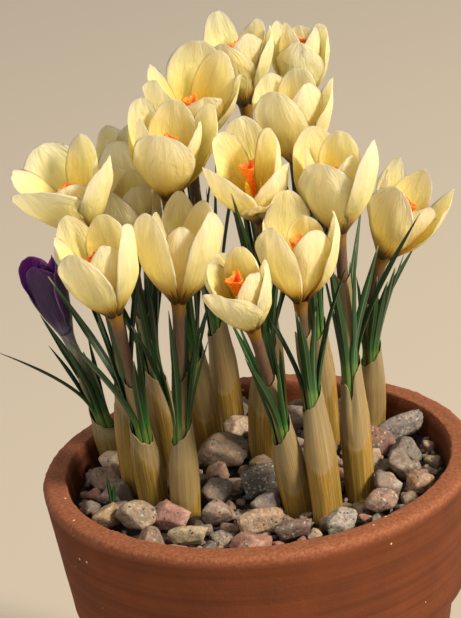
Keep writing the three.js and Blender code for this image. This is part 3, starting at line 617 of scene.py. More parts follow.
def terracotta():
    """Unglazed fired clay, turned: matt and warm, with turning lines 2 mm apart, millimetre pits
    and, in places, lime specks 0.7 mm across."""
    material, tree = blank_material("terracotta, unglazed and turned")
    place = add(tree, "ShaderNodeTexCoord")["Object"]
    rings = add(tree, "ShaderNodeMapping", {
        "Vector": place, "Scale": (every(111), every(111), every(1.923))})["Vector"]
    lines = add(tree, "ShaderNodeTexNoise", {"Vector": rings, "Scale": 1, "Detail": 3})["Fac"]
    cloud = add(tree, "ShaderNodeTexNoise", {
        "Vector": place, "Scale": every(29.4), "Detail": 6, "Roughness": 0.62})["Fac"]
    body = add(tree, "ShaderNodeValToRGB", {"Fac": cloud}, stops=[
        (0.3, "#4f250f"), (0.5, "#622f14"), (0.7, "#743b1c")])["Color"]
    bands = add(tree, "ShaderNodeValToRGB", {"Fac": lines}, stops=[
        (0.36, "#4a220e"), (0.64, "#763e1d")])["Color"]
    lined = add(tree, "ShaderNodeMix", {
        0: 0.3, COLOUR_A: body, COLOUR_B: bands}, data_type="RGBA")[COLOUR_OUT]
    height = add(tree, "ShaderNodeSeparateXYZ", {"Vector": place})["Z"]
    rim = add(tree, "ShaderNodeMapRange", {
        "Value": height, "From Min": (POT_HEIGHT - 3.5) * MM,
        "From Max": (POT_HEIGHT - 0.8) * MM}, clamp=True)["Result"]
    grit = add(tree, "ShaderNodeTexNoise", {
        "Vector": place, "Scale": every(1.111), "Detail": 3, "Roughness": 0.7})["Fac"]
    worn = add(tree, "ShaderNodeValToRGB", {"Fac": grit}, stops=[
        (0.34, "#75432b"), (0.5, "#875035"), (0.68, "#976043")])["Color"]
    topped = add(tree, "ShaderNodeMix", {
        0: rim, COLOUR_A: lined, COLOUR_B: worn}, data_type="RGBA")[COLOUR_OUT]
    lime = add(tree, "ShaderNodeTexVoronoi", {"Vector": place, "Scale": every(5.26)})["Distance"]
    some = add(tree, "ShaderNodeTexNoise", {"Vector": place, "Scale": every(38.5)})["Fac"]
    speck = add(tree, "ShaderNodeMath", {0: lime, 1: 0.07}, operation="LESS_THAN")["Value"]
    speck = add(tree, "ShaderNodeMath", {0: speck, 1: add(
        tree, "ShaderNodeMath", {0: some, 1: 0.53}, operation="GREATER_THAN")["Value"]},
        operation="MULTIPLY")["Value"]
    colour = add(tree, "ShaderNodeMix", {
        0: speck, COLOUR_A: topped, COLOUR_B: linear("#dcc0a4")}, data_type="RGBA")[COLOUR_OUT]
    relief = add(tree, "ShaderNodeMath", {0: grit, 1: lines}, operation="ADD")["Value"]
    bump = add(tree, "ShaderNodeBump", {
        "Height": relief, "Strength": 0.35, "Distance": 0.4 * MM})["Normal"]
    rough = add(tree, "ShaderNodeMapRange", {
        "Value": cloud, "To Min": 0.72, "To Max": 0.95})["Result"]
    finished(tree, add(tree, "ShaderNodeBsdfPrincipled", {
        "Base Color": colour, "Roughness": rough, "Normal": bump, "Specular IOR Level": 0.3}))
    return material


def granite():
    """Crushed granite: crystals two thirds of a millimetre across, with quartz flecks, dark mica
    and dusty stains about 5 mm across."""
    material, tree = blank_material("granite chippings, crushed")
    place = add(tree, "ShaderNodeTexCoord")["Object"]
    tint = add(tree, "ShaderNodeAttribute", attribute_name="tint")["Color"]
    flecks = add(tree, "ShaderNodeAttribute", attribute_name="flecks")["Fac"]
    cells = add(tree, "ShaderNodeTexVoronoi", {"Vector": place, "Scale": every(0.6667)})["Color"]
    shade = add(tree, "ShaderNodeSeparateColor", {"Color": cells})
    tone = add(tree, "ShaderNodeMapRange", {
        "Value": shade["Red"], "To Min": 0.5, "To Max": 1.06})["Result"]
    crystal = add(tree, "ShaderNodeVectorMath", {0: tint, "Scale": tone}, operation="SCALE")[0]
    blotch = add(tree, "ShaderNodeTexNoise", {
        "Vector": place, "Scale": every(4.76), "Detail": 6, "Roughness": 0.68})["Fac"]
    stain = add(tree, "ShaderNodeValToRGB", {"Fac": blotch}, stops=[
        (0.34, "#332e2a"), (0.45, "#756c61"), (0.54, "#937363"), (0.66, "#bdb2a2")])["Color"]
    mixed = add(tree, "ShaderNodeMix", {
        0: add(tree, "ShaderNodeMapRange", {
            "Value": flecks, "To Min": 0.52, "To Max": 0.15})["Result"],
        COLOUR_A: crystal, COLOUR_B: stain}, data_type="RGBA")[COLOUR_OUT]
    grains = add(tree, "ShaderNodeTexVoronoi", {"Vector": place, "Scale": every(0.5882)})["Color"]
    kind = add(tree, "ShaderNodeSeparateColor", {"Color": grains})
    edge = add(tree, "ShaderNodeMapRange", {
        "Value": flecks, "From Min": 0.08, "To Min": 1.0, "To Max": 0.89})["Result"]
    quartz = add(tree, "ShaderNodeMath", {0: kind["Green"], 1: edge}, operation="GREATER_THAN")[0]
    light = add(tree, "ShaderNodeMix", {
        0: quartz, COLOUR_A: mixed, COLOUR_B: linear("#a8a294")}, data_type="RGBA")[COLOUR_OUT]
    low = add(tree, "ShaderNodeMapRange", {
        "Value": flecks, "From Min": 0.02, "To Min": 0.0, "To Max": 0.09})["Result"]
    mica = add(tree, "ShaderNodeMath", {0: kind["Blue"], 1: low}, operation="LESS_THAN")[0]
    colour = add(tree, "ShaderNodeMix", {
        0: mica, COLOUR_A: light, COLOUR_B: linear("#4a4540")}, data_type="RGBA")[COLOUR_OUT]
    bump = add(tree, "ShaderNodeBump", {
        "Height": blotch, "Strength": 0.9, "Distance": 1.2 * MM})["Normal"]
    fine = add(tree, "ShaderNodeBump", {
        "Height": shade["Green"], "Strength": 0.25, "Distance": 0.3 * MM, "Normal": bump})["Normal"]
    finished(tree, add(tree, "ShaderNodeBsdfPrincipled", {
        "Base Color": colour, "Roughness": 0.72, "Normal": fine, "Specular IOR Level": 0.4}))
    return material


def peat(name, dark, pale, rough):
    """Damp peat and bark crumbs of 2 to 3 mm: near black, with a few paler fibres."""
    material, tree = blank_material(name)
    place = add(tree, "ShaderNodeTexCoord")["Object"]
    crumbs = add(tree, "ShaderNodeTexNoise", {
        "Vector": place, "Scale": every(2.38), "Detail": 8, "Roughness": 0.75})["Fac"]
    colour = add(tree, "ShaderNodeValToRGB", {"Fac": crumbs}, stops=[
        (0.38, dark), (0.7, pale)])["Color"]
    bump = add(tree, "ShaderNodeBump", {
        "Height": crumbs, "Strength": 0.9, "Distance": 1.5 * MM})["Normal"]
    finished(tree, add(tree, "ShaderNodeBsdfPrincipled", {
        "Base Color": colour, "Roughness": rough, "Normal": bump}))
    return material


def papery_sheath():
    """Papery sheath: straw-brown fibres along the stem, ochre below, thin and pale at its lip.
    Its fibre mark is in millimetres: strands a third of one wide and 12 long, in bands of 1.2."""
    material, tree = blank_material("sheath, papery and fibrous")
    fibre = add(tree, "ShaderNodeAttribute", attribute_name="fibre")["Vector"]
    below = add(tree, "ShaderNodeAttribute", attribute_name="below")["Fac"]
    wrap = add(tree, "ShaderNodeAttribute", attribute_name="wrap")["Fac"]
    strands = add(tree, "ShaderNodeMapping", {"Vector": fibre, "Scale": (1.9, 1.9, 1 / 20)})["Vector"]
    fine = add(tree, "ShaderNodeTexNoise", {
        "Vector": strands, "Scale": 1.6, "Detail": 5, "Roughness": 0.65})["Fac"]
    wide = add(tree, "ShaderNodeTexNoise", {"Vector": strands, "Scale": 0.42, "Detail": 2})["Fac"]
    low = add(tree, "ShaderNodeMapRange", {
        "Value": below, "From Min": 1, "From Max": 20, "To Min": 0, "To Max": 1})["Result"]
    patch = add(tree, "ShaderNodeTexNoise", {"Vector": fibre, "Scale": 1 / 6.25, "Detail": 3})["Fac"]
    low = add(tree, "ShaderNodeMath", {0: patch, 1: 0.9, 2: low}, operation="MULTIPLY_ADD")[0]
    low = add(tree, "ShaderNodeMath", {0: low, 1: 0.45}, operation="SUBTRACT", use_clamp=True)[0]
    ground = add(tree, "ShaderNodeValToRGB", {"Fac": low}, stops=[
        (0, "#8d7d5a"), (0.24, "#947a42"), (0.5, "#a27c30"), (1, "#ae8426")])["Color"]
    streak = add(tree, "ShaderNodeValToRGB", {"Fac": fine}, stops=[
        (0.38, "#46351a"), (0.5, "#82693a"), (0.62, "#b39c66")])["Color"]
    fibrous = add(tree, "ShaderNodeMix", {
        0: 0.46, COLOUR_A: ground, COLOUR_B: streak}, data_type="RGBA")[COLOUR_OUT]
    broad = add(tree, "ShaderNodeMapRange", {
        "Value": wide, "From Min": 0.38, "From Max": 0.62, "To Min": 0, "To Max": 0.5})["Result"]
    olive = add(tree, "ShaderNodeMix", {
        0: broad, COLOUR_A: fibrous, COLOUR_B: linear("#4b4a1c")}, data_type="RGBA")[COLOUR_OUT]
    papery = add(tree, "ShaderNodeMath", {0: wrap, 1: 0.42}, operation="MULTIPLY")[0]
    colour = add(tree, "ShaderNodeMix", {
        0: papery, COLOUR_A: olive, COLOUR_B: linear("#968769")}, data_type="RGBA")[COLOUR_OUT]
    bump = add(tree, "ShaderNodeBump", {
        "Height": fine, "Strength": 0.45, "Distance": 0.3 * MM})["Normal"]
    finished(tree, add(tree, "ShaderNodeBsdfPrincipled", {
        "Base Color": colour, "Roughness": 0.48, "Normal": bump, "Specular IOR Level": 0.45,
        "Subsurface Weight": 0.2, "Subsurface Radius": (1, 0.7, 0.3), "Subsurface Scale": 1 * MM}))
    return material


def stem_skin(name, top, middle, foot):
    """The long tube under a bloom: thin and waxy, with strands 0.6 mm wide, coloured by its
    distance below the cup in millimetres."""
    material, tree = blank_material(name)
    rise = add(tree, "ShaderNodeAttribute", attribute_name="rise")["Fac"]
    place = add(tree, "ShaderNodeTexCoord")["Object"]
    strands = add(tree, "ShaderNodeMapping", {
        "Vector": place, "Scale": (every(0.625), every(0.625), every(16.7))})["Vector"]
    fine = add(tree, "ShaderNodeTexNoise", {"Vector": strands, "Scale": 1, "Detail": 2})["Fac"]
    share = add(tree, "ShaderNodeMapRange", {
        "Value": rise, "From Min": 2, "From Max": 30})["Result"]
    colour = add(tree, "ShaderNodeValToRGB", {"Fac": share}, stops=[
        (0, top), (0.12, middle), (0.55, middle), (1, foot)])["Color"]
    tone = add(tree, "ShaderNodeMapRange", {
        "Value": fine, "From Min": 0.3, "From Max": 0.7, "To Min": 0.8, "To Max": 1.15})["Result"]
    toned = add(tree, "ShaderNodeVectorMath", {0: colour, "Scale": tone}, operation="SCALE")[0]
    finished(tree, add(tree, "ShaderNodeBsdfPrincipled", {
        "Base Color": toned, "Roughness": 0.4, "Specular IOR Level": 0.4,
        "Subsurface Weight": 0.25, "Subsurface Radius": (1, 0.6, 0.35),
        "Subsurface Scale": 1.2 * MM}))
    return material


def leaf_blade():
    """Crocus leaf: dark green and slightly waxy, with a white line down its middle, a dozen
    fine ridges along it and clouds of tone about 11 mm long."""
    material, tree = blank_material("leaf, waxy with a white midrib")
    across = add(tree, "ShaderNodeAttribute", attribute_name="across")["Fac"]
    along = add(tree, "ShaderNodeAttribute", attribute_name="along")["Fac"]
    place = add(tree, "ShaderNodeTexCoord")["Object"]
    cloud = add(tree, "ShaderNodeTexNoise", {
        "Vector": place, "Scale": every(11.1), "Detail": 3})["Fac"]
    green = add(tree, "ShaderNodeValToRGB", {"Fac": along}, stops=[
        (0, "#4c6a2a"), (0.1, "#275622"), (0.4, "#173c18"), (0.95, "#143514"),
        (1, "#8c9468")])["Color"]
    tone = add(tree, "ShaderNodeMapRange", {
        "Value": cloud, "From Min": 0.3, "From Max": 0.7, "To Min": 0.75, "To Max": 1.25})["Result"]
    toned = add(tree, "ShaderNodeVectorMath", {0: green, "Scale": tone}, operation="SCALE")[0]
    off = add(tree, "ShaderNodeMath", {0: across}, operation="ABSOLUTE")[0]
    line = add(tree, "ShaderNodeMapRange", {
        "Value": off, "From Min": 0.05, "From Max": 0.16, "To Min": 0.34, "To Max": 0})["Result"]
    colour = add(tree, "ShaderNodeMix", {
        0: line, COLOUR_A: toned, COLOUR_B: linear("#87996c")}, data_type="RGBA")[COLOUR_OUT]
    ridges = add(tree, "ShaderNodeMath", {0: across, 1: 38}, operation="MULTIPLY")[0]
    ridges = add(tree, "ShaderNodeMath", {0: ridges}, operation="SINE")[0]
    bump = add(tree, "ShaderNodeBump", {
        "Height": ridges, "Strength": 0.2, "Distance": 0.1 * MM})["Normal"]
    finished(tree, add(tree, "ShaderNodeBsdfPrincipled", {
        "Base Color": colour, "Roughness": 0.38, "Normal": bump, "Specular IOR Level": 0.5,
        "Subsurface Weight": 0.12, "Subsurface Radius": (0.4, 1, 0.2),
        "Subsurface Scale": 0.8 * MM}))
    return material


def petal(name, outside, inside, feather, streak, throat):
    """Petal: thin, satin and half see-through, golden inside, paler outside with faint streaks,
    and brown feathering where it meets the tube. The fibre mark counts half widths and lengths
    of the petal, so veins come 0.6 mm apart and 20 mm long, and crumples are 2 by 6 mm."""
    material, tree = blank_material(name)
    fibre = add(tree, "ShaderNodeAttribute", attribute_name="fibre")["Vector"]
    along = add(tree, "ShaderNodeAttribute", attribute_name="along")["Fac"]
    inner = add(tree, "ShaderNodeAttribute", attribute_name="inner")["Fac"]
    veins = add(tree, "ShaderNodeMapping", {"Vector": fibre, "Scale": (11, 1.1, 1)})["Vector"]
    fine = add(tree, "ShaderNodeTexNoise", {
        "Vector": veins, "Scale": 1.4, "Detail": 5, "Roughness": 0.6})["Fac"]
    broad = add(tree, "ShaderNodeTexNoise", {
        "Vector": veins, "Scale": 0.34, "Detail": 3})["Fac"]
    back = add(tree, "ShaderNodeValToRGB", {"Fac": along}, stops=outside)["Color"]
    face = add(tree, "ShaderNodeValToRGB", {"Fac": along}, stops=inside)["Color"]
    shade = add(tree, "ShaderNodeMapRange", {
        "Value": broad, "From Min": 0.45, "From Max": 0.72, "To Min": 0, "To Max": 0.35})["Result"]
    streaked = add(tree, "ShaderNodeMix", {
        0: shade, COLOUR_A: back, COLOUR_B: linear(streak)}, data_type="RGBA")[COLOUR_OUT]
    reach = add(tree, "ShaderNodeMapRange", {
        "Value": fine, "From Min": 0.35, "From Max": 0.65, "To Min": 0.07, "To Max": 0.32})["Result"]
    foot = add(tree, "ShaderNodeMath", {0: reach, 1: along}, operation="SUBTRACT")[0]
    foot = add(tree, "ShaderNodeMath", {0: foot, 1: 9}, operation="MULTIPLY", use_clamp=True)[0]
    feathered = add(tree, "ShaderNodeMix", {
        0: foot, COLOUR_A: streaked, COLOUR_B: linear(feather)}, data_type="RGBA")[COLOUR_OUT]
    both = add(tree, "ShaderNodeMix", {
        0: inner, COLOUR_A: feathered, COLOUR_B: face}, data_type="RGBA")[COLOUR_OUT]
    tone = add(tree, "ShaderNodeMapRange", {
        "Value": fine, "From Min": 0.3, "From Max": 0.7, "To Min": 0.92, "To Max": 1.04})["Result"]
    colour = add(tree, "ShaderNodeVectorMath", {0: both, "Scale": tone}, operation="SCALE")[0]
    crumple = add(tree, "ShaderNodeMapping", {"Vector": fibre, "Scale": (5.5, 5, 1)})["Vector"]
    silk = add(tree, "ShaderNodeTexNoise", {
        "Vector": crumple, "Scale": 1, "Detail": 4, "Roughness": 0.55, "Distortion": 0.6})["Fac"]
    broken = add(tree, "ShaderNodeBump", {
        "Height": silk, "Strength": 0.75, "Distance": 1 * MM})["Normal"]
    bump = add(tree, "ShaderNodeBump", {
        "Height": fine, "Strength": 0.35, "Distance": 0.26 * MM, "Normal": broken})["Normal"]
    finished(tree, add(tree, "ShaderNodeBsdfPrincipled", {
        "Base Color": colour, "Roughness": 0.5, "Normal": bump, "Specular IOR Level": 0.3,
        "Subsurface Weight": 0.8, "Subsurface Radius": throat, "Subsurface Scale": 2.4 * MM}))
    return material


def grainy(name, deep, bright, rough, size):
    """Stigma or anther: saturated and velvety, from a covering of fine grains, which are drawn
    about half a millimetre wide so that they show."""
    material, tree = blank_material(name)
    place = add(tree, "ShaderNodeTexCoord")["Object"]
    grain = add(tree, "ShaderNodeTexNoise", {
        "Vector": place, "Scale": every(size), "Detail": 3})["Fac"]
    colour = add(tree, "ShaderNodeValToRGB", {"Fac": grain}, stops=[
        (0.35, deep), (0.62, bright)])["Color"]
    bump = add(tree, "ShaderNodeBump", {
        "Height": grain, "Strength": 0.6, "Distance": 0.3 * MM})["Normal"]
    finished(tree, add(tree, "ShaderNodeBsdfPrincipled", {
        "Base Color": colour, "Roughness": rough, "Normal": bump,
        "Subsurface Weight": 0.1, "Subsurface Radius": (1, 0.6, 0.2),
        "Subsurface Scale": 1 * MM}))
    return material


def floor_finish():
    """Matt pale board, plain."""
    material, tree = blank_material("floor, plain and pale")
    finished(tree, add(tree, "ShaderNodeBsdfPrincipled", {
        "Base Color": linear("#bfb6a9"), "Roughness": 0.85, "Specular IOR Level": 0.2}))
    return material


CLAY = terracotta()
GRANITE = granite()
GRIT = peat("grit, dark and damp", "#1d1916", "#4a4038", 0.9)
PEAT = peat("peat, damp", "#1f1711", "#4d3a2a", 0.92)
PAPER = papery_sheath()
LEAF = leaf_blade()
TUBE = stem_skin("tube of a cream bloom, waxy", "#7c5a18", "#5d4636", "#726747")
PALE_TUBE = stem_skin("tube of the purple bloom, waxy", "#6f6880", "#8d8b7a", "#8b8e68")
CREAM = petal(
    "petal, cream and satin",
    [(0.0, "#553a0c"), (0.1, "#8a6518"), (0.23, "#c89c36"), (0.39, "#f3da80"), (1, "#fcf0b8")],
    [(0.0, "#bc8408"), (0.14, "#f0b21a"), (0.34, "#f6cc4a"), (0.6, "#f8e080"), (1, "#f9edb0")],
    "#4a320c", "#e0cc88", (1, 0.9, 0.6))
PURPLE = petal(
    "petal, dark purple and satin",
    [(0.0, "#6a6080"), (0.2, "#46305a"), (1, "#3a2449")],
    [(0.0, "#5a4a74"), (0.3, "#422a58"), (1, "#3c264e")],
    "#6f6a84", "#54406a", (0.5, 0.3, 0.6))
STIGMA = grainy("stigma, orange and velvety", "#f06408", "#ff9226", 0.6, 0.625)
POLLEN = grainy("anther, dusted with pollen", "#d99a1c", "#f6d452", 0.8, 0.4545)

# ---------- pot ----------


def lathe_profile():
    """The pot's section as a closed ring of (radius, height), with its corners rounded."""
    foot = POT_HEIGHT - COLLAR_HEIGHT
    # radius, height and rounding of each corner
    corners = [
        (0, 0, 0),
        (FOOT_RADIUS, 0, FOOT_ROUND),
        (COLLAR_LOW_RADIUS - COLLAR_STEP, foot - STEP_SLOPE, 1.2),
        (COLLAR_LOW_RADIUS, foot + 0.2, 1.1),
        (RIM_RADIUS, POT_HEIGHT, RIM_ROUND),
        (RIM_INNER_RADIUS, POT_HEIGHT, RIM_INNER_ROUND),
        (FLOOR_INNER_RADIUS, FLOOR_THICKNESS, 2),
        (0, FLOOR_THICKNESS, 0),
    ]
    path = []
    for index, (radius, height, bend) in enumerate(corners):
        here = Vector((radius, height))
        before = Vector(corners[index - 1][:2])
        after = Vector(corners[(index + 1) % len(corners)][:2])
        if not bend:
            path.append(here)
            continue
        ways = [(point - here).normalized() for point in (before, after)]
        half = math.acos(max(-1, min(1, ways[0].dot(ways[1])))) / 2
        reach = bend / math.tan(half)
        ends = [here + way * reach for way in ways]
        for step in range(7):
            t = step / 6
            path.append(ends[0] * (1 - t) ** 2 + here * (2 * t * (1 - t)) + ends[1] * t * t)
    ring = []
    for index, here in enumerate(path):
        after = path[(index + 1) % len(path)]
        steps = max(1, math.ceil((after - here).length / SECTION_PITCH))
        if here.x == 0 and after.x == 0:
            steps = 1
        ring.extend(here.lerp(after, step / steps) for step in range(steps))
    return [(point.x, point.y) for point in ring]


def turning_tree():
    """Sweeps a section round the upright axis, makes it a little uneven, and drills its foot."""
    tree, given = geometry_tree("turned pot", {
        "Section": "Geometry", "Sides": "Int", "Unevenness": "Float", "Rim wear": "Float",
        "Rim height": "Float", "Hole radius": "Float", "Hole ring": "Float",
        "Finish": "Material"}, "Pot")
    section = add(tree, "GeometryNodeMeshToCurve", {"Mesh": given["Section"]})["Curve"]
    circle = add(tree, "GeometryNodeCurvePrimitiveCircle", {
        "Resolution": given["Sides"], "Radius": MM}, mode="RADIUS")["Curve"]
    upright = add(tree, "GeometryNodeSetCurveNormal", {"Curve": circle}, mode="Z_UP")["Curve"]
    turned = add(tree, "GeometryNodeCurveToMesh", {
        "Curve": upright, "Profile Curve": section})["Mesh"]
    closed = add(tree, "GeometryNodeMergeByDistance", {
        "Geometry": turned, "Distance": 0.02 * MM})["Geometry"]
    place = add(tree, "GeometryNodeInputPosition")["Position"]
    normal = add(tree, "GeometryNodeInputNormal")["Normal"]
    bands = add(tree, "ShaderNodeVectorMath", {0: place, 1: (
        every(143), every(143), every(3.846))}, operation="MULTIPLY")[0]
    turning = add(tree, "ShaderNodeTexNoise", {"Vector": bands, "Scale": 1, "Detail": 2})["Fac"]
    turning = add(tree, "ShaderNodeMath", {0: turning, 1: 0.5}, operation="SUBTRACT")[0]
    turning = add(tree, "ShaderNodeMath", {0: turning, 1: given["Unevenness"]},
                  operation="MULTIPLY")[0]
    height = add(tree, "ShaderNodeSeparateXYZ", {"Vector": place})["Z"]
    near_rim = add(tree, "ShaderNodeMapRange", {
        "Value": height, "From Min": (POT_HEIGHT - 4.5) * MM,
        "From Max": given["Rim height"]})["Result"]
    chips = add(tree, "ShaderNodeTexNoise", {
        "Vector": place, "Scale": every(3.33), "Detail": 4, "Roughness": 0.65})["Fac"]
    chips = add(tree, "ShaderNodeMapRange", {
        "Value": chips, "From Min": 0.5, "From Max": 0.72})["Result"]
    wear = add(tree, "ShaderNodeMath", {0: chips, 1: near_rim}, operation="MULTIPLY")[0]
    wear = add(tree, "ShaderNodeMath", {0: wear, 1: given["Rim wear"]}, operation="MULTIPLY")[0]
    depth = add(tree, "ShaderNodeMath", {0: turning, 1: wear}, operation="SUBTRACT")[0]
    offset = add(tree, "ShaderNodeVectorMath", {0: normal, "Scale": depth}, operation="SCALE")[0]
    on_wall = add(tree, "FunctionNodeCompare", {0: height, 1: 1.5 * MM}, operation="GREATER_THAN")[0]
    uneven = add(tree, "GeometryNodeSetPosition", {
        "Geometry": closed, "Selection": on_wall, "Offset": offset})["Geometry"]
    drill = add(tree, "GeometryNodeMeshCylinder", {
        "Vertices": 32, "Radius": given["Hole radius"], "Depth": 40 * MM})["Mesh"]
    ring = add(tree, "GeometryNodeMeshCircle", {
        "Vertices": 3, "Radius": given["Hole ring"]})["Mesh"]
    ring = add(tree, "GeometryNodeTransform", {
        "Geometry": ring, "Rotation": Euler((0, 0, math.pi / 2))})["Geometry"]
    drills = add(tree, "GeometryNodeInstanceOnPoints", {"Points": ring, "Instance": drill})[0]
    drills = add(tree, "GeometryNodeRealizeInstances", {"Geometry": drills})["Geometry"]
    drilled = add(tree, "GeometryNodeMeshBoolean", {
        "Mesh 1": uneven, "Mesh 2": drills}, operation="DIFFERENCE", solver="EXACT")["Mesh"]
    return end_tree(tree, drilled, given["Finish"])


def make_pot():
    ring = lathe_profile()
    points = [(radius - 1, -height, 0) for radius, height in ring]
    edges = [(index, (index + 1) % len(ring)) for index in range(len(ring))]
    section = mesh_of("pot section", points, [], edges=edges)
    mesh = grown("pot shape", section, turning_tree(), {
        "Sides": POT_SIDES, "Unevenness": POT_UNEVENNESS * MM, "Rim wear": RIM_WEAR * MM,
        "Rim height": POT_HEIGHT * MM, "Hole radius": DRAIN_RADIUS * MM,
        "Hole ring": DRAIN_RING_RADIUS * MM, "Finish": CLAY})
    mesh.name = "clay_pot"
    show("clay_pot", mesh, CLAY, "terracotta", ["pot"])
    mesh.set_sharp_from_angle(angle=math.radians(50))


def pot_inside(z):
    """Radius of the pot's inside at a height."""
    low = FLOOR_THICKNESS + 1.5
    share = (z - low) / (POT_HEIGHT - RIM_INNER_ROUND - low)
    return mix(FLOOR_INNER_RADIUS + 1.5, RIM_INNER_RADIUS, share)


# ---------- ground ----------


def make_grit():
    """The dark grit that shows between the stones, with a crumbled top."""
    angles = ring_angles(GRIT_SIDES)
    rings = [[Vector((0, 0, GRAVEL_FOOT))]]
    foot = pot_inside(GRAVEL_FOOT) - 0.5
    for share in (0.5, 1):
        rings.append([Vector((foot * share * math.cos(angle), foot * share * math.sin(angle),
                              GRAVEL_FOOT)) for angle in angles])
    edge = pot_inside(GRIT_TOP) - 0.6
    for row in range(GRIT_ROWS):
        radius = edge * (1 - row / GRIT_ROWS)
        ring = []
        for angle in angles:
            point = Vector((radius * math.cos(angle), radius * math.sin(angle), 0))
            crumb = noise.fractal(point * 0.3, 0.8, 2, 4) * 1.6
            crumb = max(-GRIT_RELIEF, min(GRIT_RELIEF, crumb))
            ring.append(Vector((point.x, point.y, GRIT_TOP + crumb)))
        rings.append(ring)
    rings.append([Vector((0, 0, GRIT_TOP))])
    points, faces = skin(rings)
    show("grit_bed", mesh_of("grit_bed", points, faces), GRIT, "granite", ["gravel"])


def chipping(name, detail, seed, roughness):
    """A crushed stone: a ball cut by planes, with a pitted skin."""
    draw = seeded_random(seed)

    def way():
        height = mix(-1, 1, draw())
        angle = 2 * math.pi * draw()
        flat = math.sqrt(1 - height * height)
        return Vector((flat * math.cos(angle), flat * math.sin(angle), height))

    planes = [(way(), mix(*STONE_FLATS, draw())) for _ in range(STONE_PLANES)]
    shift = Vector((draw(), draw(), draw())) * 50
    shape = bmesh.new()
    bmesh.ops.create_icosphere(shape, subdivisions=detail, radius=1)
    for vert in shape.verts:
        out = vert.co.normalized()
        reach = min([1] + [depth / out.dot(normal) for normal, depth in planes
                           if out.dot(normal) > 0.2])
        vert.co = out * reach
    for vert in shape.verts:
        out = vert.co.normalized()
        grain = noise.fractal(vert.co * 2.0 + shift, 0.8, 2.2, 5)
        vert.co += out * grain * roughness
    size = [max(abs(vert.co[axis]) for vert in shape.verts) for axis in range(3)]
    for vert in shape.verts:
        vert.co = [vert.co[axis] / size[axis] for axis in range(3)]
    mesh = bpy.data.meshes.new(name)
    shape.to_mesh(mesh)
    shape.free()
    return mesh


def scatter_tree():
    """Sets a stone of its own kind, size, turn and colour on every point."""
    tree, given = geometry_tree("scattered stones", {
        "Places": "Geometry", "Kinds": "Collection", "Size": "Float",
        "Finish": "Material"}, "Stones")
    kinds = add(tree, "GeometryNodeCollectionInfo", {
        "Collection": given["Kinds"], "Separate Children": True, "Reset Children": True})[0]
    which = add(tree, "GeometryNodeInputNamedAttribute", {"Name": "kind"}, data_type="FLOAT")[0]
    turn = add(tree, "GeometryNodeInputNamedAttribute", {
        "Name": "turn"}, data_type="FLOAT_VECTOR")[0]
    half = add(tree, "GeometryNodeInputNamedAttribute", {
        "Name": "half"}, data_type="FLOAT_VECTOR")[0]
    size = add(tree, "ShaderNodeVectorMath", {0: half, "Scale": given["Size"]},
               operation="SCALE")[0]
    spun = add(tree, "FunctionNodeEulerToRotation", {"Euler": turn})["Rotation"]
    placed = add(tree, "GeometryNodeInstanceOnPoints", {
        "Points": given["Places"], "Instance": kinds, "Pick Instance": True,
        "Instance Index": which, "Rotation": spun, "Scale": size})["Instances"]
    return end_tree(tree, placed, given["Finish"])


def stone_places():
    """The CAD's own stones, by the same rule: (place, half sizes, turn, colour, flecks)."""
    draw = seeded_random(STONE_SEED)
    paint = seeded_random(88)
    stones = list(KEY_STONES)
    for _ in range(STONE_TRIES):
        angle = 2 * math.pi * draw()
        radius = (pot_inside(BED_TOP) - STONE_MARGIN) * math.sqrt(draw())
        half = tuple(mix(*sizes, draw()) for sizes in STONE_HALVES)
        turn = 180 * draw()
        at = (radius * math.cos(angle), radius * math.sin(angle))
        clear = all(math.dist(at, other[0]) > (half[0] + other[1][0]) * STONE_SPACING
                    for other in stones)
        if clear and all(math.dist(at, shoot.root) > SHEATH_RADIUS + half[0] * 0.9
                         for shoot in SHOOTS):
            colour = STONE_COLOURS[int(paint() * len(STONE_COLOURS))]
            stones.append((at, half, turn, colour, mix(0, 0.35, paint())))
    return stones


def fill_places(big, count, sizes, level, seed, share):
    """Smaller stones between the big ones, clear of the shoots and of each other."""
    draw = seeded_random(seed)
    placed = []
    for _ in range(count * 30):
        half = mix(*sizes, draw())
        angle = 2 * math.pi * draw()
        radius = (pot_inside(BED_TOP) - 1.2 * half - 0.6) * math.sqrt(draw())
        at = (radius * math.cos(angle), radius * math.sin(angle))
        shape = (half, half * mix(0.65, 1, draw()), half * mix(0.55, 0.9, draw()))
        turn = 360 * draw()
        colour = STONE_COLOURS[int(draw() * len(STONE_COLOURS))]
        flecks = mix(0, 0.35, draw())
        height = level + mix(-0.6, 0.9, draw())
        clear = all(math.dist(at, other[0]) > other[1][1] * share + half * 0.7 for other in big)
        clear = clear and all(math.dist(at, shoot.root) > SHEATH_RADIUS + half * 0.75
                              for shoot in SHOOTS)
        clear = clear and all(math.dist(at, other[0]) > (half + other[1][0]) * 0.8
                              for other in placed)
        if clear:
            placed.append((at, shape, turn, colour, flecks, height))
        if len(placed) == count:
            break
    return placed


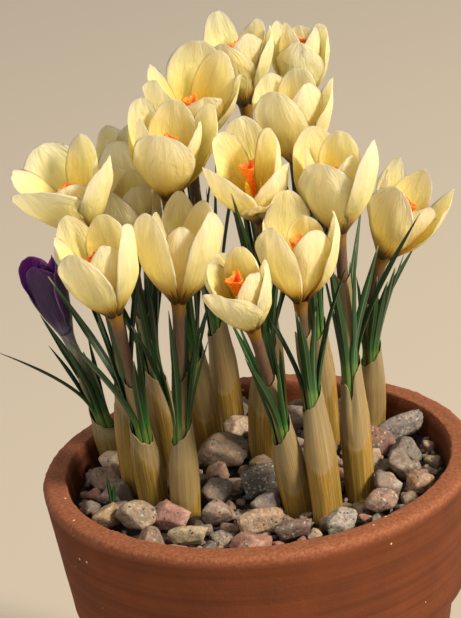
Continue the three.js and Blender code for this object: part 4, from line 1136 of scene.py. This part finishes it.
def scatter(name, stones, kinds, seed):
    draw = seeded_random(seed)
    collection = bpy.data.collections.new(name + " kinds")
    for index, mesh in enumerate(kinds):
        collection.objects.link(bpy.data.objects.new(numbered(name + " kind", index), mesh))
    points, halves, turns, tints, flecks, which = [], [], [], [], [], []
    for stone in stones:
        at, half, turn, colour, fleck = stone[:5]
        height = stone[5] if len(stone) > 5 else BED_TOP + half[2] * STONE_LIFT + STONE_RAISE
        points.append((at[0], at[1], height))
        halves.append(tuple(size * STONE_SWELL for size in half))
        turns.append((mix(-0.12, 0.12, draw()), mix(-0.12, 0.12, draw()), math.radians(turn)))
        shade = mix(0.95, 1.35, draw())
        tints.append(tuple(value * shade for value in linear(colour)[:3]) + (1,))
        flecks.append(fleck)
        which.append(float(int(draw() * len(kinds))))
    places = mesh_of(name + " places", points, [], {
        "half": halves, "turn": turns, "tint": tints, "flecks": flecks, "kind": which})
    mesh = grown(name + " shape", places, scatter_tree(), {
        "Kinds": collection, "Size": MM, "Finish": GRANITE})
    mesh.name = name
    for item in list(collection.objects):
        bpy.data.objects.remove(item)
    bpy.data.collections.remove(collection)
    show(name, mesh, GRANITE, "granite", ["gravel"])


def make_ground():
    make_grit()
    stones = stone_places()
    big = [chipping(f"stone shape {seed}", 4, seed * 37 + 5, 0.04) for seed in range(9)]
    scatter("stones", stones, big, 51)
    small = [chipping(f"small stone shape {seed}", 3, seed * 53 + 9, 0.05) for seed in range(7)]
    scatter("small_stones", fill_places(stones, *SMALL_STONES), small, 52)
    tiny = [chipping(f"chip shape {seed}", 2, seed * 71 + 3, 0.06) for seed in range(6)]
    scatter("stone_chips", fill_places(stones, *STONE_CHIPS), tiny, 53)


# ---------- corms and sheaths ----------


def corm_part(corm):
    (x, y), radius, _ = corm
    rings = [[Vector((x, y, CORM_LEVEL - CORM_HALF_HEIGHT))]]
    for step in range(1, CORM_STEPS):
        height = math.cos(math.pi * step / CORM_STEPS)
        wide = radius * math.sin(math.pi * step / CORM_STEPS) ** 0.8
        centre = Vector((x, y, CORM_LEVEL - CORM_HALF_HEIGHT * height))
        rings.append(stem_ring(centre, Vector((0, 0, 1)), [wide] * CORM_SIDES))
    rings.append([Vector((x, y, CORM_LEVEL + CORM_HALF_HEIGHT))])
    points, faces = skin(rings)
    return points, faces, {"fibre": [tuple(p * 3) for p in points],
                           "below": [40.0] * len(points), "wrap": [0.0] * len(points)}


def sheath_part(corm, index):
    """One sheath: up the outside to its torn, slanted mouth, then down the inside."""
    shoot, path = SHOOTS[index], PATHS[index]
    draw = seeded_random(300 + index * 17)
    slant_turn = math.radians(shoot.mouth)
    wrap_turn = slant_turn + mix(1.2, 2.6, draw())
    wrap_height = shoot.sheath - mix(10, 15, draw())
    phase = draw() * 40
    angles = ring_angles(STEM_SIDES)
    slant_from = min(HOLE_REACH, shoot.sheath * 0.55)
    split = SPLIT_MOUTHS.get(index)

    def lip(angle):
        torn = ring_noise(angle, 3, phase) * LIP_TEAR
        peak = LIP_PEAK * max(0, math.cos(angle - slant_turn)) ** 6
        lift = SHEATH_CUT * math.cos(angle - slant_turn) + torn + peak
        if split:
            away = (math.degrees(angle) - split + 180) % 360 - 180
            lift -= SPLIT_DEPTH * math.exp(-(away / SPLIT_WIDTH) ** 2)
        return lift

    def ring(distance, share, radius_of):
        centre, direction = path.at(distance)
        radii = [radius_of(angle, distance) for angle in angles]
        return stem_ring(centre, direction, radii, [lip(angle) * share for angle in angles])

    def wrap_edge(angle):
        return wrap_height + WRAP_SLANT * math.cos(angle - wrap_turn)

    def outside(angle, distance):
        ribs = 0.07 * ring_noise(angle, 5, phase)
        edge = wrap_edge(angle)
        wrapped = WRAP_THICKNESS * (1 - smooth(edge - 0.25, edge + 0.25, distance))
        upper = smooth(shoot.sheath * 0.5, shoot.sheath, distance)
        swell = SHEATH_SWELL * math.sin(math.pi * min(1, max(0, distance / shoot.sheath)))
        radius = mix(SHEATH_RADIUS, SHEATH_MOUTH_RADIUS - MOUTH_HUG, upper)
        return radius + ribs + wrapped + swell - 0.1

    start = Vector((*corm[0], CORM_LEVEL))
    end, direction = path.at(0)
    neck = [start, start + Vector((0, 0, NECK_RISE)), end - direction * NECK_BEND, end]
    rings, depth = [], []
    for step in range(8):
        centre, way = bezier(neck, step / 8)
        radii = [outside(angle, -9) for angle in angles]
        rings.append(stem_ring(centre, way, radii))
        depth.append(shoot.sheath + 30 - 3 * step)
    rows = max(14, round(shoot.sheath / 0.62))
    for row in range(rows + 1):
        distance = shoot.sheath * row / rows
        share = max(0, (distance - slant_from) / (shoot.sheath - slant_from))
        rings.append(ring(distance, share, outside))
        depth.append(shoot.sheath - distance)
    # down the inside: drop below the mouth, and the share of its slant that is left
    for drop, share in ((0, 1), (1, 0.92), (3, 0.75), (6, 0.5), (SOCKET_DEPTH - 1, 0)):
        def inside(angle, distance, drop=drop):
            return outside(angle, shoot.sheath) - 0.2 - 0.05 * drop
        rings.append(ring(shoot.sheath - drop, share, inside))
        depth.append(drop)
    points, faces = skin(rings)
    fibre, wrap = [], []
    for row, below in enumerate(depth):
        for angle in angles:
            edge = wrap_edge(angle)
            fibre.append((math.cos(angle) * SHEATH_RADIUS + index * 9,
                          math.sin(angle) * SHEATH_RADIUS, below))
            wrap.append(smooth(edge - 0.3, edge + 0.3, shoot.sheath - below))
    below = [float(value) for value in depth for _ in angles]
    return points, faces, {"fibre": fibre, "below": below, "wrap": wrap}


def make_sheaths():
    for index, corm in enumerate(CORMS):
        parts = [corm_part(corm)] + [sheath_part(corm, shoot) for shoot in corm[2]]
        name = numbered("papery_sheath", index)
        show(name, mesh_of(name, *gathered(parts)), PAPER, "sheath", [numbered("sheath", index)])


def tube_stations(shoot):
    """The tube with its papery bract: (distance along the shoot, radius)."""
    return [
        (shoot.sheath - SOCKET_DEPTH + LEAF_FOOT_HEIGHT, TUBE_RADIUS),
        (shoot.sheath + SPATHE_FROM, TUBE_RADIUS),
        (shoot.sheath + SPATHE_FULL, SPATHE_RADIUS),
        (shoot.spathe, SPATHE_RADIUS - SPATHE_TAPER),
    ]


def make_spathe(index):
    """The thin bract round the lower tube, open in two points at its top."""
    shoot, path = SHOOTS[index], PATHS[index]
    draw = seeded_random(700 + index * 13)
    stations = tube_stations(shoot)
    angles = ring_angles(SPATHE_SIDES)
    phase = draw() * 6.3
    low = shoot.sheath - 6

    def width(distance):
        for (here, a), (there, b) in zip(stations, stations[1:]):
            if distance <= there:
                return mix(a, b, smooth(here, there, distance)) + 0.12
        return stations[-1][1] + 0.12

    def lip(angle):
        torn = ring_noise(angle, 3, phase) * 0.8
        return 2.2 * abs(math.cos(angle - phase)) ** 1.5 + torn - 0.8

    def ring(distance, share, thinner):
        centre, direction = path.at(distance)
        crease = [ring_noise(angle, 3, phase + distance * 0.05) for angle in angles]
        radii = [width(distance) - thinner + 0.16 * value for value in crease]
        return stem_ring(centre, direction, radii, [lip(angle) * share for angle in angles])

    rings, depth = [], []
    rows = max(12, round((shoot.spathe - low) / 1.1))
    for row in range(rows + 1):
        distance = mix(low, shoot.spathe, row / rows)
        rings.append(ring(distance, (row / rows) ** 3, 0))
        depth.append(shoot.spathe - distance)
    for drop in (0, 1.5, 4):
        rings.append(ring(shoot.spathe - drop, 1 - drop / 4, 0.16 + 0.07 * drop))
        depth.append(drop)
    points, faces = skin(rings)
    marks = {"fibre": [(math.cos(a) * 4 + index * 9, math.sin(a) * 4, d)
                       for d in depth for a in angles],
             "below": [float(d) * 0.45 for d in depth for _ in angles],
             "wrap": [0.75] * len(points)}
    name = numbered("papery_bract", index)
    show(name, mesh_of(name, points, faces, marks), PAPER, "sheath", [numbered("bloom", index)])


# ---------- leaves and tubes, swept along their lines ----------


def sweep_tree():
    """Sweeps a section along every line; the lines carry its scale and the way it faces."""
    tree, given = geometry_tree("swept blade", {
        "Lines": "Geometry", "Section": "Object", "Thickness": "Float",
        "Finish": "Material"}, "Blades")
    lines = add(tree, "GeometryNodeMeshToCurve", {"Mesh": given["Lines"]})["Curve"]
    facing = add(tree, "GeometryNodeInputNamedAttribute", {
        "Name": "facing"}, data_type="FLOAT_VECTOR")[0]
    faced = add(tree, "GeometryNodeSetCurveNormal", {
        "Curve": lines, "Normal": facing}, mode="FREE")["Curve"]
    section = add(tree, "GeometryNodeObjectInfo", {"Object": given["Section"]})["Geometry"]
    outline = add(tree, "GeometryNodeMeshToCurve", {"Mesh": section})["Curve"]
    wide = add(tree, "GeometryNodeInputNamedAttribute", {"Name": "wide"}, data_type="FLOAT")[0]
    scale = add(tree, "ShaderNodeMath", {0: wide, 1: given["Thickness"]}, operation="MULTIPLY")[0]
    swept = add(tree, "GeometryNodeCurveToMesh", {
        "Curve": faced, "Profile Curve": outline, "Scale": scale, "Fill Caps": True})["Mesh"]
    return end_tree(tree, swept, given["Finish"])


SWEEP = sweep_tree()


def section_of(name, outline):
    """A section to sweep: (out, across) points, as a ring of edges."""
    edges = [(index, (index + 1) % len(outline)) for index in range(len(outline))]
    widest = max(abs(across) for _, across in outline)
    marks = {"across": [across / widest for _, across in outline]}
    mesh = mesh_of(name, [(out, across, 0) for out, across in outline], [], marks, edges)
    section = bpy.data.objects.new(name, mesh)
    bpy.context.scene.collection.objects.link(section)
    return section


BLADE_SECTION = section_of("blade section", [
    (-0.34, -1.42), (-0.1, -1.3), (0.14, -1.0), (0.38, -0.5), (0.5, -0.16), (0.54, 0),
    (0.5, 0.16), (0.38, 0.5), (0.14, 1.0), (-0.1, 1.3), (-0.34, 1.42), (-0.42, 1.3),
    (-0.2, 0.9), (0.0, 0.4), (0.02, 0.14), (0.02, 0), (0.02, -0.14), (0.0, -0.4),
    (-0.2, -0.9), (-0.42, -1.3)])
ROUND_SECTION = section_of("round section", [
    (math.cos(angle), math.sin(angle)) for angle in ring_angles(20)])


def swept(name, lines, section, material, slot, nodes):
    """lines: lists of (point, facing, scale, further marks)."""
    points, edges, marks = [], [], {"facing": [], "wide": []}
    for line in lines:
        first = len(points)
        for point, facing, wide, more in line:
            points.append(point)
            marks["facing"].append(tuple(facing))
            marks["wide"].append(float(wide))
            for label, value in more.items():
                marks.setdefault(label, []).append(float(value))
        edges.extend((index, index + 1) for index in range(first, len(points) - 1))
    seed = mesh_of(name + " lines", points, [], marks, edges)
    mesh = grown(name + " shape", seed, SWEEP, {
        "Section": section, "Thickness": 1.0, "Finish": material})
    mesh.name = name
    show(name, mesh, material, slot, nodes)


def leaf_shape(t):
    return min(1, 0.7 + t * 0.7) * min(1, (1 - t) / 0.3 + 0.06) ** 0.8


def leaf_line(shoot, path, turn, tip, draw):
    """A blade: up through the sheath's mouth, then in an arc to its tip."""
    feet = []
    start = shoot.sheath - SOCKET_DEPTH + LEAF_FOOT_HEIGHT / 2
    for distance in (start, shoot.sheath + LEAF_FROM):
        centre, direction = path.at(distance)
        feet.append(centre + outwards(direction, turn) * LEAF_CIRCLE)
    rise = (feet[1] - feet[0]).normalized()
    reach = (tip - feet[1]).length * LEAF_RISE
    arc = [feet[1], feet[1] + rise * reach, tip]
    wave = draw() * 6.3
    twist = mix(-0.5, 0.5, draw())
    line = []
    for step in range(7):
        point = feet[0].lerp(feet[1], step / 7)
        line.append((point, rise, 0.8, 0, 0))
    for step in range(BLADE_STEPS + 1):
        t = step / BLADE_STEPS
        point, tangent = bezier(arc, t)
        line.append((point, tangent, leaf_shape(t), t, math.sin(t * 5 + wave) * LEAF_SWAY * t))
    swept_line = []
    for point, tangent, wide, t, sway in line:
        out = outwards(tangent, turn + twist * t)
        side = tangent.cross(out)
        swept_line.append((point + side * sway, out, wide * LEAF_NARROW, {"along": t}))
    return swept_line


def make_leaves():
    for index, (shoot, path) in enumerate(zip(SHOOTS, PATHS)):
        draw = seeded_random(900 + index * 31)
        lines = [leaf_line(shoot, path, math.radians(turn), Vector(tip), draw)
                 for turn, tip in shoot.leaves]
        for turn in EXTRA_LEAVES:
            swing = mix(-EXTRA_SWING, EXTRA_SWING, draw())
            turn = math.radians(shoot.leaves[0][0] + turn + swing)
            reach = mix(shoot.sheath, path.length, mix(*EXTRA_REACH, draw()))
            centre, direction = path.at(reach)
            tip = centre + outwards(direction, turn) * mix(*EXTRA_LEAN, draw())
            lines.append(leaf_line(shoot, path, turn, tip, draw))
        name = numbered("leaf_blades", index)
        swept(name, lines, BLADE_SECTION, LEAF, "leaf", [numbered("leaves", index)])


def tepal_slot(shoot):
    return "tepal_purple" if shoot.purple else "tepal_cream"


def make_tube(index):
    """The tube, from inside the sheath up to the cup, where it widens into the throat."""
    shoot, path = SHOOTS[index], PATHS[index]
    line = []
    start = shoot.sheath - SOCKET_DEPTH + LEAF_FOOT_HEIGHT + 0.6
    for step in range(TUBE_STEPS + 1):
        distance = mix(start, path.length + TUBE_OVERLAP, step / TUBE_STEPS)
        point, direction = path.at(distance)
        right, _ = cross_axes(direction)
        rise = path.length - distance
        flare = 0.66 * math.exp(-(max(0, rise) / 2.6))
        line.append((point, right, TUBE_RADIUS + flare + 0.25 * smooth(0, TUBE_OVERLAP, -rise),
                     {"rise": max(0, rise)}))
    name = numbered("bloom_tube", index)
    material = PALE_TUBE if shoot.purple else TUBE
    swept(name, [line], ROUND_SECTION, material, tepal_slot(shoot), [numbered("bloom", index)])


# ---------- blooms ----------


def tepal_line(shoot, ring, lean, stretch):
    """Centre line of a petal from the throat: distance from the axis, height, and spread."""
    inside = ring % 2
    step = shoot.tepal * (TEPAL_INNER_LENGTH if inside else 1) * stretch / TEPAL_STEPS
    nest = TEPAL_NEST if inside else 0
    low = math.radians((shoot.spread[0] - nest) * TEPAL_FUNNEL)
    high = math.radians(shoot.spread[1] - nest + lean)

    def spread_at(t):
        start = mix(TEPAL_THROAT, 1, smooth(0, 0.2, t))
        return high + (low * start - high) * (1 - t) ** TEPAL_BEND

    points = [(THROAT_INNER_RADIUS if inside else THROAT_RADIUS, 0, low)]
    for i in range(TEPAL_STEPS):
        spread = spread_at((i + 0.5) / TEPAL_STEPS)
        radius, height, _ = points[i]
        points.append((radius + step * math.sin(spread), height + step * math.cos(spread),
                       spread_at((i + 1) / TEPAL_STEPS)))

    def at(t):
        place = min(t, 0.99999) * TEPAL_STEPS
        i = math.floor(place)
        return [mix(a, b, place - i) for a, b in zip(points[i], points[i + 1])]
    return at


def tepal_half_width(t, point):
    """A narrow claw, widest above the middle, then a round or slightly pointed tip."""
    below = min(t / TEPAL_WIDEST, 1)
    above = max(0, (t - TEPAL_WIDEST) / (1 - TEPAL_WIDEST))
    claw = 0.2 + 0.8 * math.sin(math.pi / 2 * below) ** 0.9
    return TEPAL_WIDTH / 2 * claw * max(0, 1 - above ** 2.1) ** point


def tepal_part(index, ring, draw):
    """One petal as a thin closed shell, with a groove, a waved edge and its own lean."""
    inside = ring % 2
    shoot = SHOOTS[index]
    own_turn, own_lean, own_length, own_width = PETAL_HABITS.get((index, ring), (0, 0, 1, 1))
    lean = mix(*PETAL_LEANS, draw()) + own_lean
    stretch = mix(*PETAL_LENGTHS, draw()) * own_length
    wide = (TEPAL_INNER_SCALE if inside else 1) * mix(*PETAL_WIDTHS, draw()) * own_width
    whole = shoot.turn + 60 * ring + PETAL_TURNS.get(index, 0)
    azimuth = math.radians(whole + mix(*PETAL_SWINGS, draw()) + own_turn)
    point = mix(*PETAL_TIPS, draw()) * TIP_SHAPES.get(index, 1)
    phase = draw() * 6.3
    seed = Vector((draw() * 40, draw() * 40, draw() * 40))
    skew = mix(*PETAL_SKEWS, draw())
    line = tepal_line(shoot, ring, lean, stretch)
    bend_share = TEPAL_INNER_BEND if inside else TEPAL_OUTER_BEND

    def place(u, t, depth):
        radius, height, spread = line(t)
        bend = radius * bend_share
        half_width = tepal_half_width(t, point)
        angle = u * wide * half_width / bend
        across = u * half_width / (TEPAL_WIDTH / 2)
        crease = GROOVE * math.sin(math.pi * min(1, t * 1.05)) + TIP_GROOVE * smooth(0.7, 0.95, t)
        fold = crease * math.exp(-(across / GROOVE_WIDTH) ** 2)
        broad = noise.noise(Vector((across * 1.6, t * 2.6, 0)) + seed) * RIPPLE
        fine = noise.noise(Vector((across * 5, t * 5, 3)) + seed) * CRINKLE
        ripple = broad * smooth(0.1, 0.7, t) + fine * smooth(0.15, 0.6, t)
        offset = INNER_OFFSET * inside * smooth(0.12, 0.5, t)
        wave = EDGE_WAVE * abs(across) ** 3 * math.sin(7.5 * t + phase + u)
        lip = skew * across * smooth(0.6, 1, t)
        depth = depth + fold + ripple + offset + wave * smooth(0.25, 0.8, t) + lip
        sideways = (bend - depth) * math.sin(angle)
        inwards = bend - (bend - depth) * math.cos(angle)
        out = radius - inwards * math.cos(spread)
        up = height + inwards * math.sin(spread)
        return Vector((out * math.cos(azimuth) - sideways * math.sin(azimuth),
                       out * math.sin(azimuth) + sideways * math.cos(azimuth), up))

    points, faces = [], []
    marks = {"fibre": [], "along": [], "inner": []}

    def put(u, t, depth, side):
        points.append(place(u, t, depth))
        marks["fibre"].append((u + ring * 3.7 + seed.x, t, side * 5 + seed.y))
        marks["along"].append(float(t))
        marks["inner"].append(float(side))
        return len(points) - 1

    grids = []
    for side in (0, 1):
        grid = []
        for row in range(TEPAL_ROWS + 1):
            s = row / TEPAL_ROWS
            t = 0.995 * (1 - (1 - s) ** 1.45)
            cells = []
            for column in range(TEPAL_COLUMNS + 1):
                u = 2 * column / TEPAL_COLUMNS - 1
                u = math.copysign(1 - (1 - abs(u)) ** 1.15, u)
                border = column in (0, TEPAL_COLUMNS) or row == TEPAL_ROWS
                if side and border:
                    cells.append(grids[0][row][column])
                    continue
                thick = TEPAL_SHELL * (1 - 0.7 * abs(u) ** 3) * (1 - 0.55 * t)
                cells.append(put(u, t, thick * side, side))
            grid.append(cells)
        grids.append(grid)
    for side, grid in enumerate(grids):
        for row in range(TEPAL_ROWS):
            for column in range(TEPAL_COLUMNS):
                face = [grid[row][column], grid[row][column + 1],
                        grid[row + 1][column + 1], grid[row + 1][column]]
                faces.append(face[::-1] if side else face)
    for column in range(TEPAL_COLUMNS):
        foot = [grids[1][0][column], grids[1][0][column + 1],
                grids[0][0][column + 1], grids[0][0][column]]
        faces.append(list(dict.fromkeys(foot)))
    return points, faces, marks


def seated(part, path):
    """Turns a part from the bloom's own frame to its place on the shoot."""
    points, faces, marks = part
    right, back = cross_axes(path.axis)
    basis = Matrix((right, back, path.axis)).transposed()
    return [basis @ point + path.cup for point in points], faces, marks


def make_petals(index):
    shoot, path = SHOOTS[index], PATHS[index]
    draw = seeded_random(1300 + index * 101)
    part = gathered([tepal_part(index, ring, draw) for ring in range(6)])
    name = numbered("petals", index)
    material = PURPLE if shoot.purple else CREAM
    mesh = mesh_of(name, *seated(part, path))
    turn_outwards(mesh)
    show(name, mesh, material, tepal_slot(shoot), [numbered("bloom", index)])


def make_stamens(index):
    """Three stamens: a thin filament with a long, grooved anther dusted with pollen."""
    shoot, path = SHOOTS[index], PATHS[index]
    parts = []
    for stamen in range(3):
        angle = math.radians(shoot.turn + 120 * stamen + 20)
        out = Vector((math.cos(angle), math.sin(angle), 0))
        rings = []
        for step in range(15):
            t = step / 14
            centre = out * mix(*STAMEN_OUT, t) + Vector((0, 0, mix(STAMEN_FOOT, STAMEN_TOP, t)))
            blade = smooth(0.4, 0.48, t) * (1 - smooth(0.93, 1.0, t))
            half = mix(FILAMENT[0], ANTHER[0], blade) * (1 - 0.55 * smooth(0.85, 1, t))
            thin = mix(FILAMENT[1], ANTHER[1], blade) * (1 - 0.4 * smooth(0.85, 1, t))
            side = Vector((-out.y, out.x, 0))
            ring = []
            for around in ring_angles(12):
                groove = 1 - 0.35 * blade * abs(math.cos(around)) ** 4
                ring.append(centre + out * math.cos(around) * thin * groove
                            + side * math.sin(around) * half)
            rings.append(ring)
        points, faces = skin(rings)
        parts.append((points, faces, {}))
    name = numbered("stamens", index)
    show(name, mesh_of(name, *seated(gathered(parts), path)), POLLEN, "stigma",
         [numbered("bloom", index)])


def make_stigma(index):
    """The style, which opens into an upright trumpet of three frilled lobes."""
    shoot, path = SHOOTS[index], PATHS[index]
    tall = 1 + STIGMA_LIFTS.get(index, 0) / STIGMA_HEIGHT
    draw = seeded_random(1700 + index * 7)
    phase = draw() * 30
    turn = math.radians(shoot.turn + 80)

    def ring(height, wide, narrow, frill):
        points = []
        for angle in ring_angles(STIGMA_SIDES):
            lobe = (0.5 + 0.5 * math.cos(3 * angle)) ** 1.3
            ruffle = ring_noise(angle, 4, phase)
            pleat = math.sin(15 * angle + phase) * 0.5
            radius = mix(narrow, wide, lobe) * (1 + frill * (0.2 * ruffle + 0.08 * pleat))
            lift = frill * (ruffle * 0.5 + pleat * 0.12 + 0.3 * lobe)
            points.append(Vector((radius * math.cos(angle + turn),
                                  radius * math.sin(angle + turn), (height + lift) * tall)))
        return points

    rings = [[Vector((0, 0, 1.0))]]
    rings.extend(ring(*row) for row in STIGMA_RINGS)
    rings.append([Vector((0, 0, 15.5))])
    points, faces = skin(rings)
    name = numbered("frilled_stigma", index)
    show(name, mesh_of(name, *seated((points, faces, {}), path)), STIGMA, "stigma",
         [numbered("stigma", index)])


def make_blooms():
    for index, shoot in enumerate(SHOOTS):
        make_tube(index)
        make_spathe(index)
        make_petals(index)
        if not shoot.purple:
            make_stamens(index)
            make_stigma(index)


def make_seedling():
    """A tiny green shoot by the pot's wall, on the left."""
    lines = []
    for blade in SEEDLING_BLADES:
        line = []
        for step in range(14):
            t = step / 13
            point = Vector(SEEDLING_FOOT) + Vector(blade) * t
            wide = SEEDLING_WIDTH * leaf_shape(t)
            line.append((point, Vector((0, -1, 0)), wide, {"along": t * 0.7}))
        lines.append(line)
    swept("tiny_green_shoot", lines, BLADE_SECTION, LEAF, "leaf", [])


# ---------- assembly ----------

make_pot()
make_ground()
make_sheaths()
make_leaves()
make_blooms()
make_seedling()
for section in (BLADE_SECTION, ROUND_SECTION):
    bpy.data.objects.remove(section)

for material_slot in frame["nodes"]["potting_mix"].material_slots:
    material_slot.material = PEAT

# ---------- floor, light and camera ----------


def make_floor():
    corners = [(-FLOOR_SIDE, -FLOOR_FRONT, 0), (FLOOR_SIDE, -FLOOR_FRONT, 0),
               (FLOOR_SIDE, FLOOR_BACK, 0), (-FLOOR_SIDE, FLOOR_BACK, 0)]
    mesh = mesh_of("floor", corners, [(0, 1, 2, 3)])
    floor = bpy.data.objects.new("floor", mesh)
    mesh.materials.append(floor_finish())
    bpy.context.scene.collection.objects.link(floor)


def make_light(name, place, target, size, power, colour):
    data = bpy.data.lights.new(name, "AREA")
    data.shape = "DISK"
    data.size = size
    data.energy = power
    data.color = linear(colour)[:3]
    lamp = bpy.data.objects.new(name, data)
    way = Vector(target) - Vector(place)
    lamp.matrix_world = (Matrix.Translation(Vector(place))
                         @ way.to_track_quat("-Z", "Y").to_matrix().to_4x4())
    bpy.context.scene.collection.objects.link(lamp)


def make_world():
    world = bpy.data.worlds.new("studio")
    world.use_nodes = True
    tree = world.node_tree
    tree.nodes.clear()
    sky = add(tree, "ShaderNodeBackground", {"Color": linear(SKY[0]), "Strength": SKY[1]})
    add(tree, "ShaderNodeOutputWorld", {"Surface": sky["Background"]})
    bpy.context.scene.world = world


def make_camera():
    """The photograph's view, with the sensor's width along the picture's long side."""
    forward = Vector(CAMERA_FORWARD).normalized()
    right = Vector((1, 0, 0))
    up = right.cross(forward)
    roll = math.radians(CAMERA_ROLL)
    across = right * math.cos(roll) + up * math.sin(roll)
    above = up * math.cos(roll) - right * math.sin(roll)
    data = bpy.data.cameras.new("camera")
    data.lens = CAMERA_LENS
    data.sensor_width = SENSOR_WIDTH
    data.sensor_fit = "AUTO"
    data.clip_start = 0.02
    data.clip_end = 30
    camera = bpy.data.objects.new("camera", data)
    axes = Matrix((across, above, -forward)).transposed().to_4x4()
    camera.matrix_world = Matrix.Translation(Vector(CAMERA_PLACE)) @ axes
    bpy.context.scene.collection.objects.link(camera)
    bpy.context.scene.camera = camera


bpy.context.scene.view_settings.view_transform = "Standard"
make_floor()
make_world()
make_light("key", *KEY_LIGHT)
make_light("fill", *FILL_LIGHT)
make_camera()
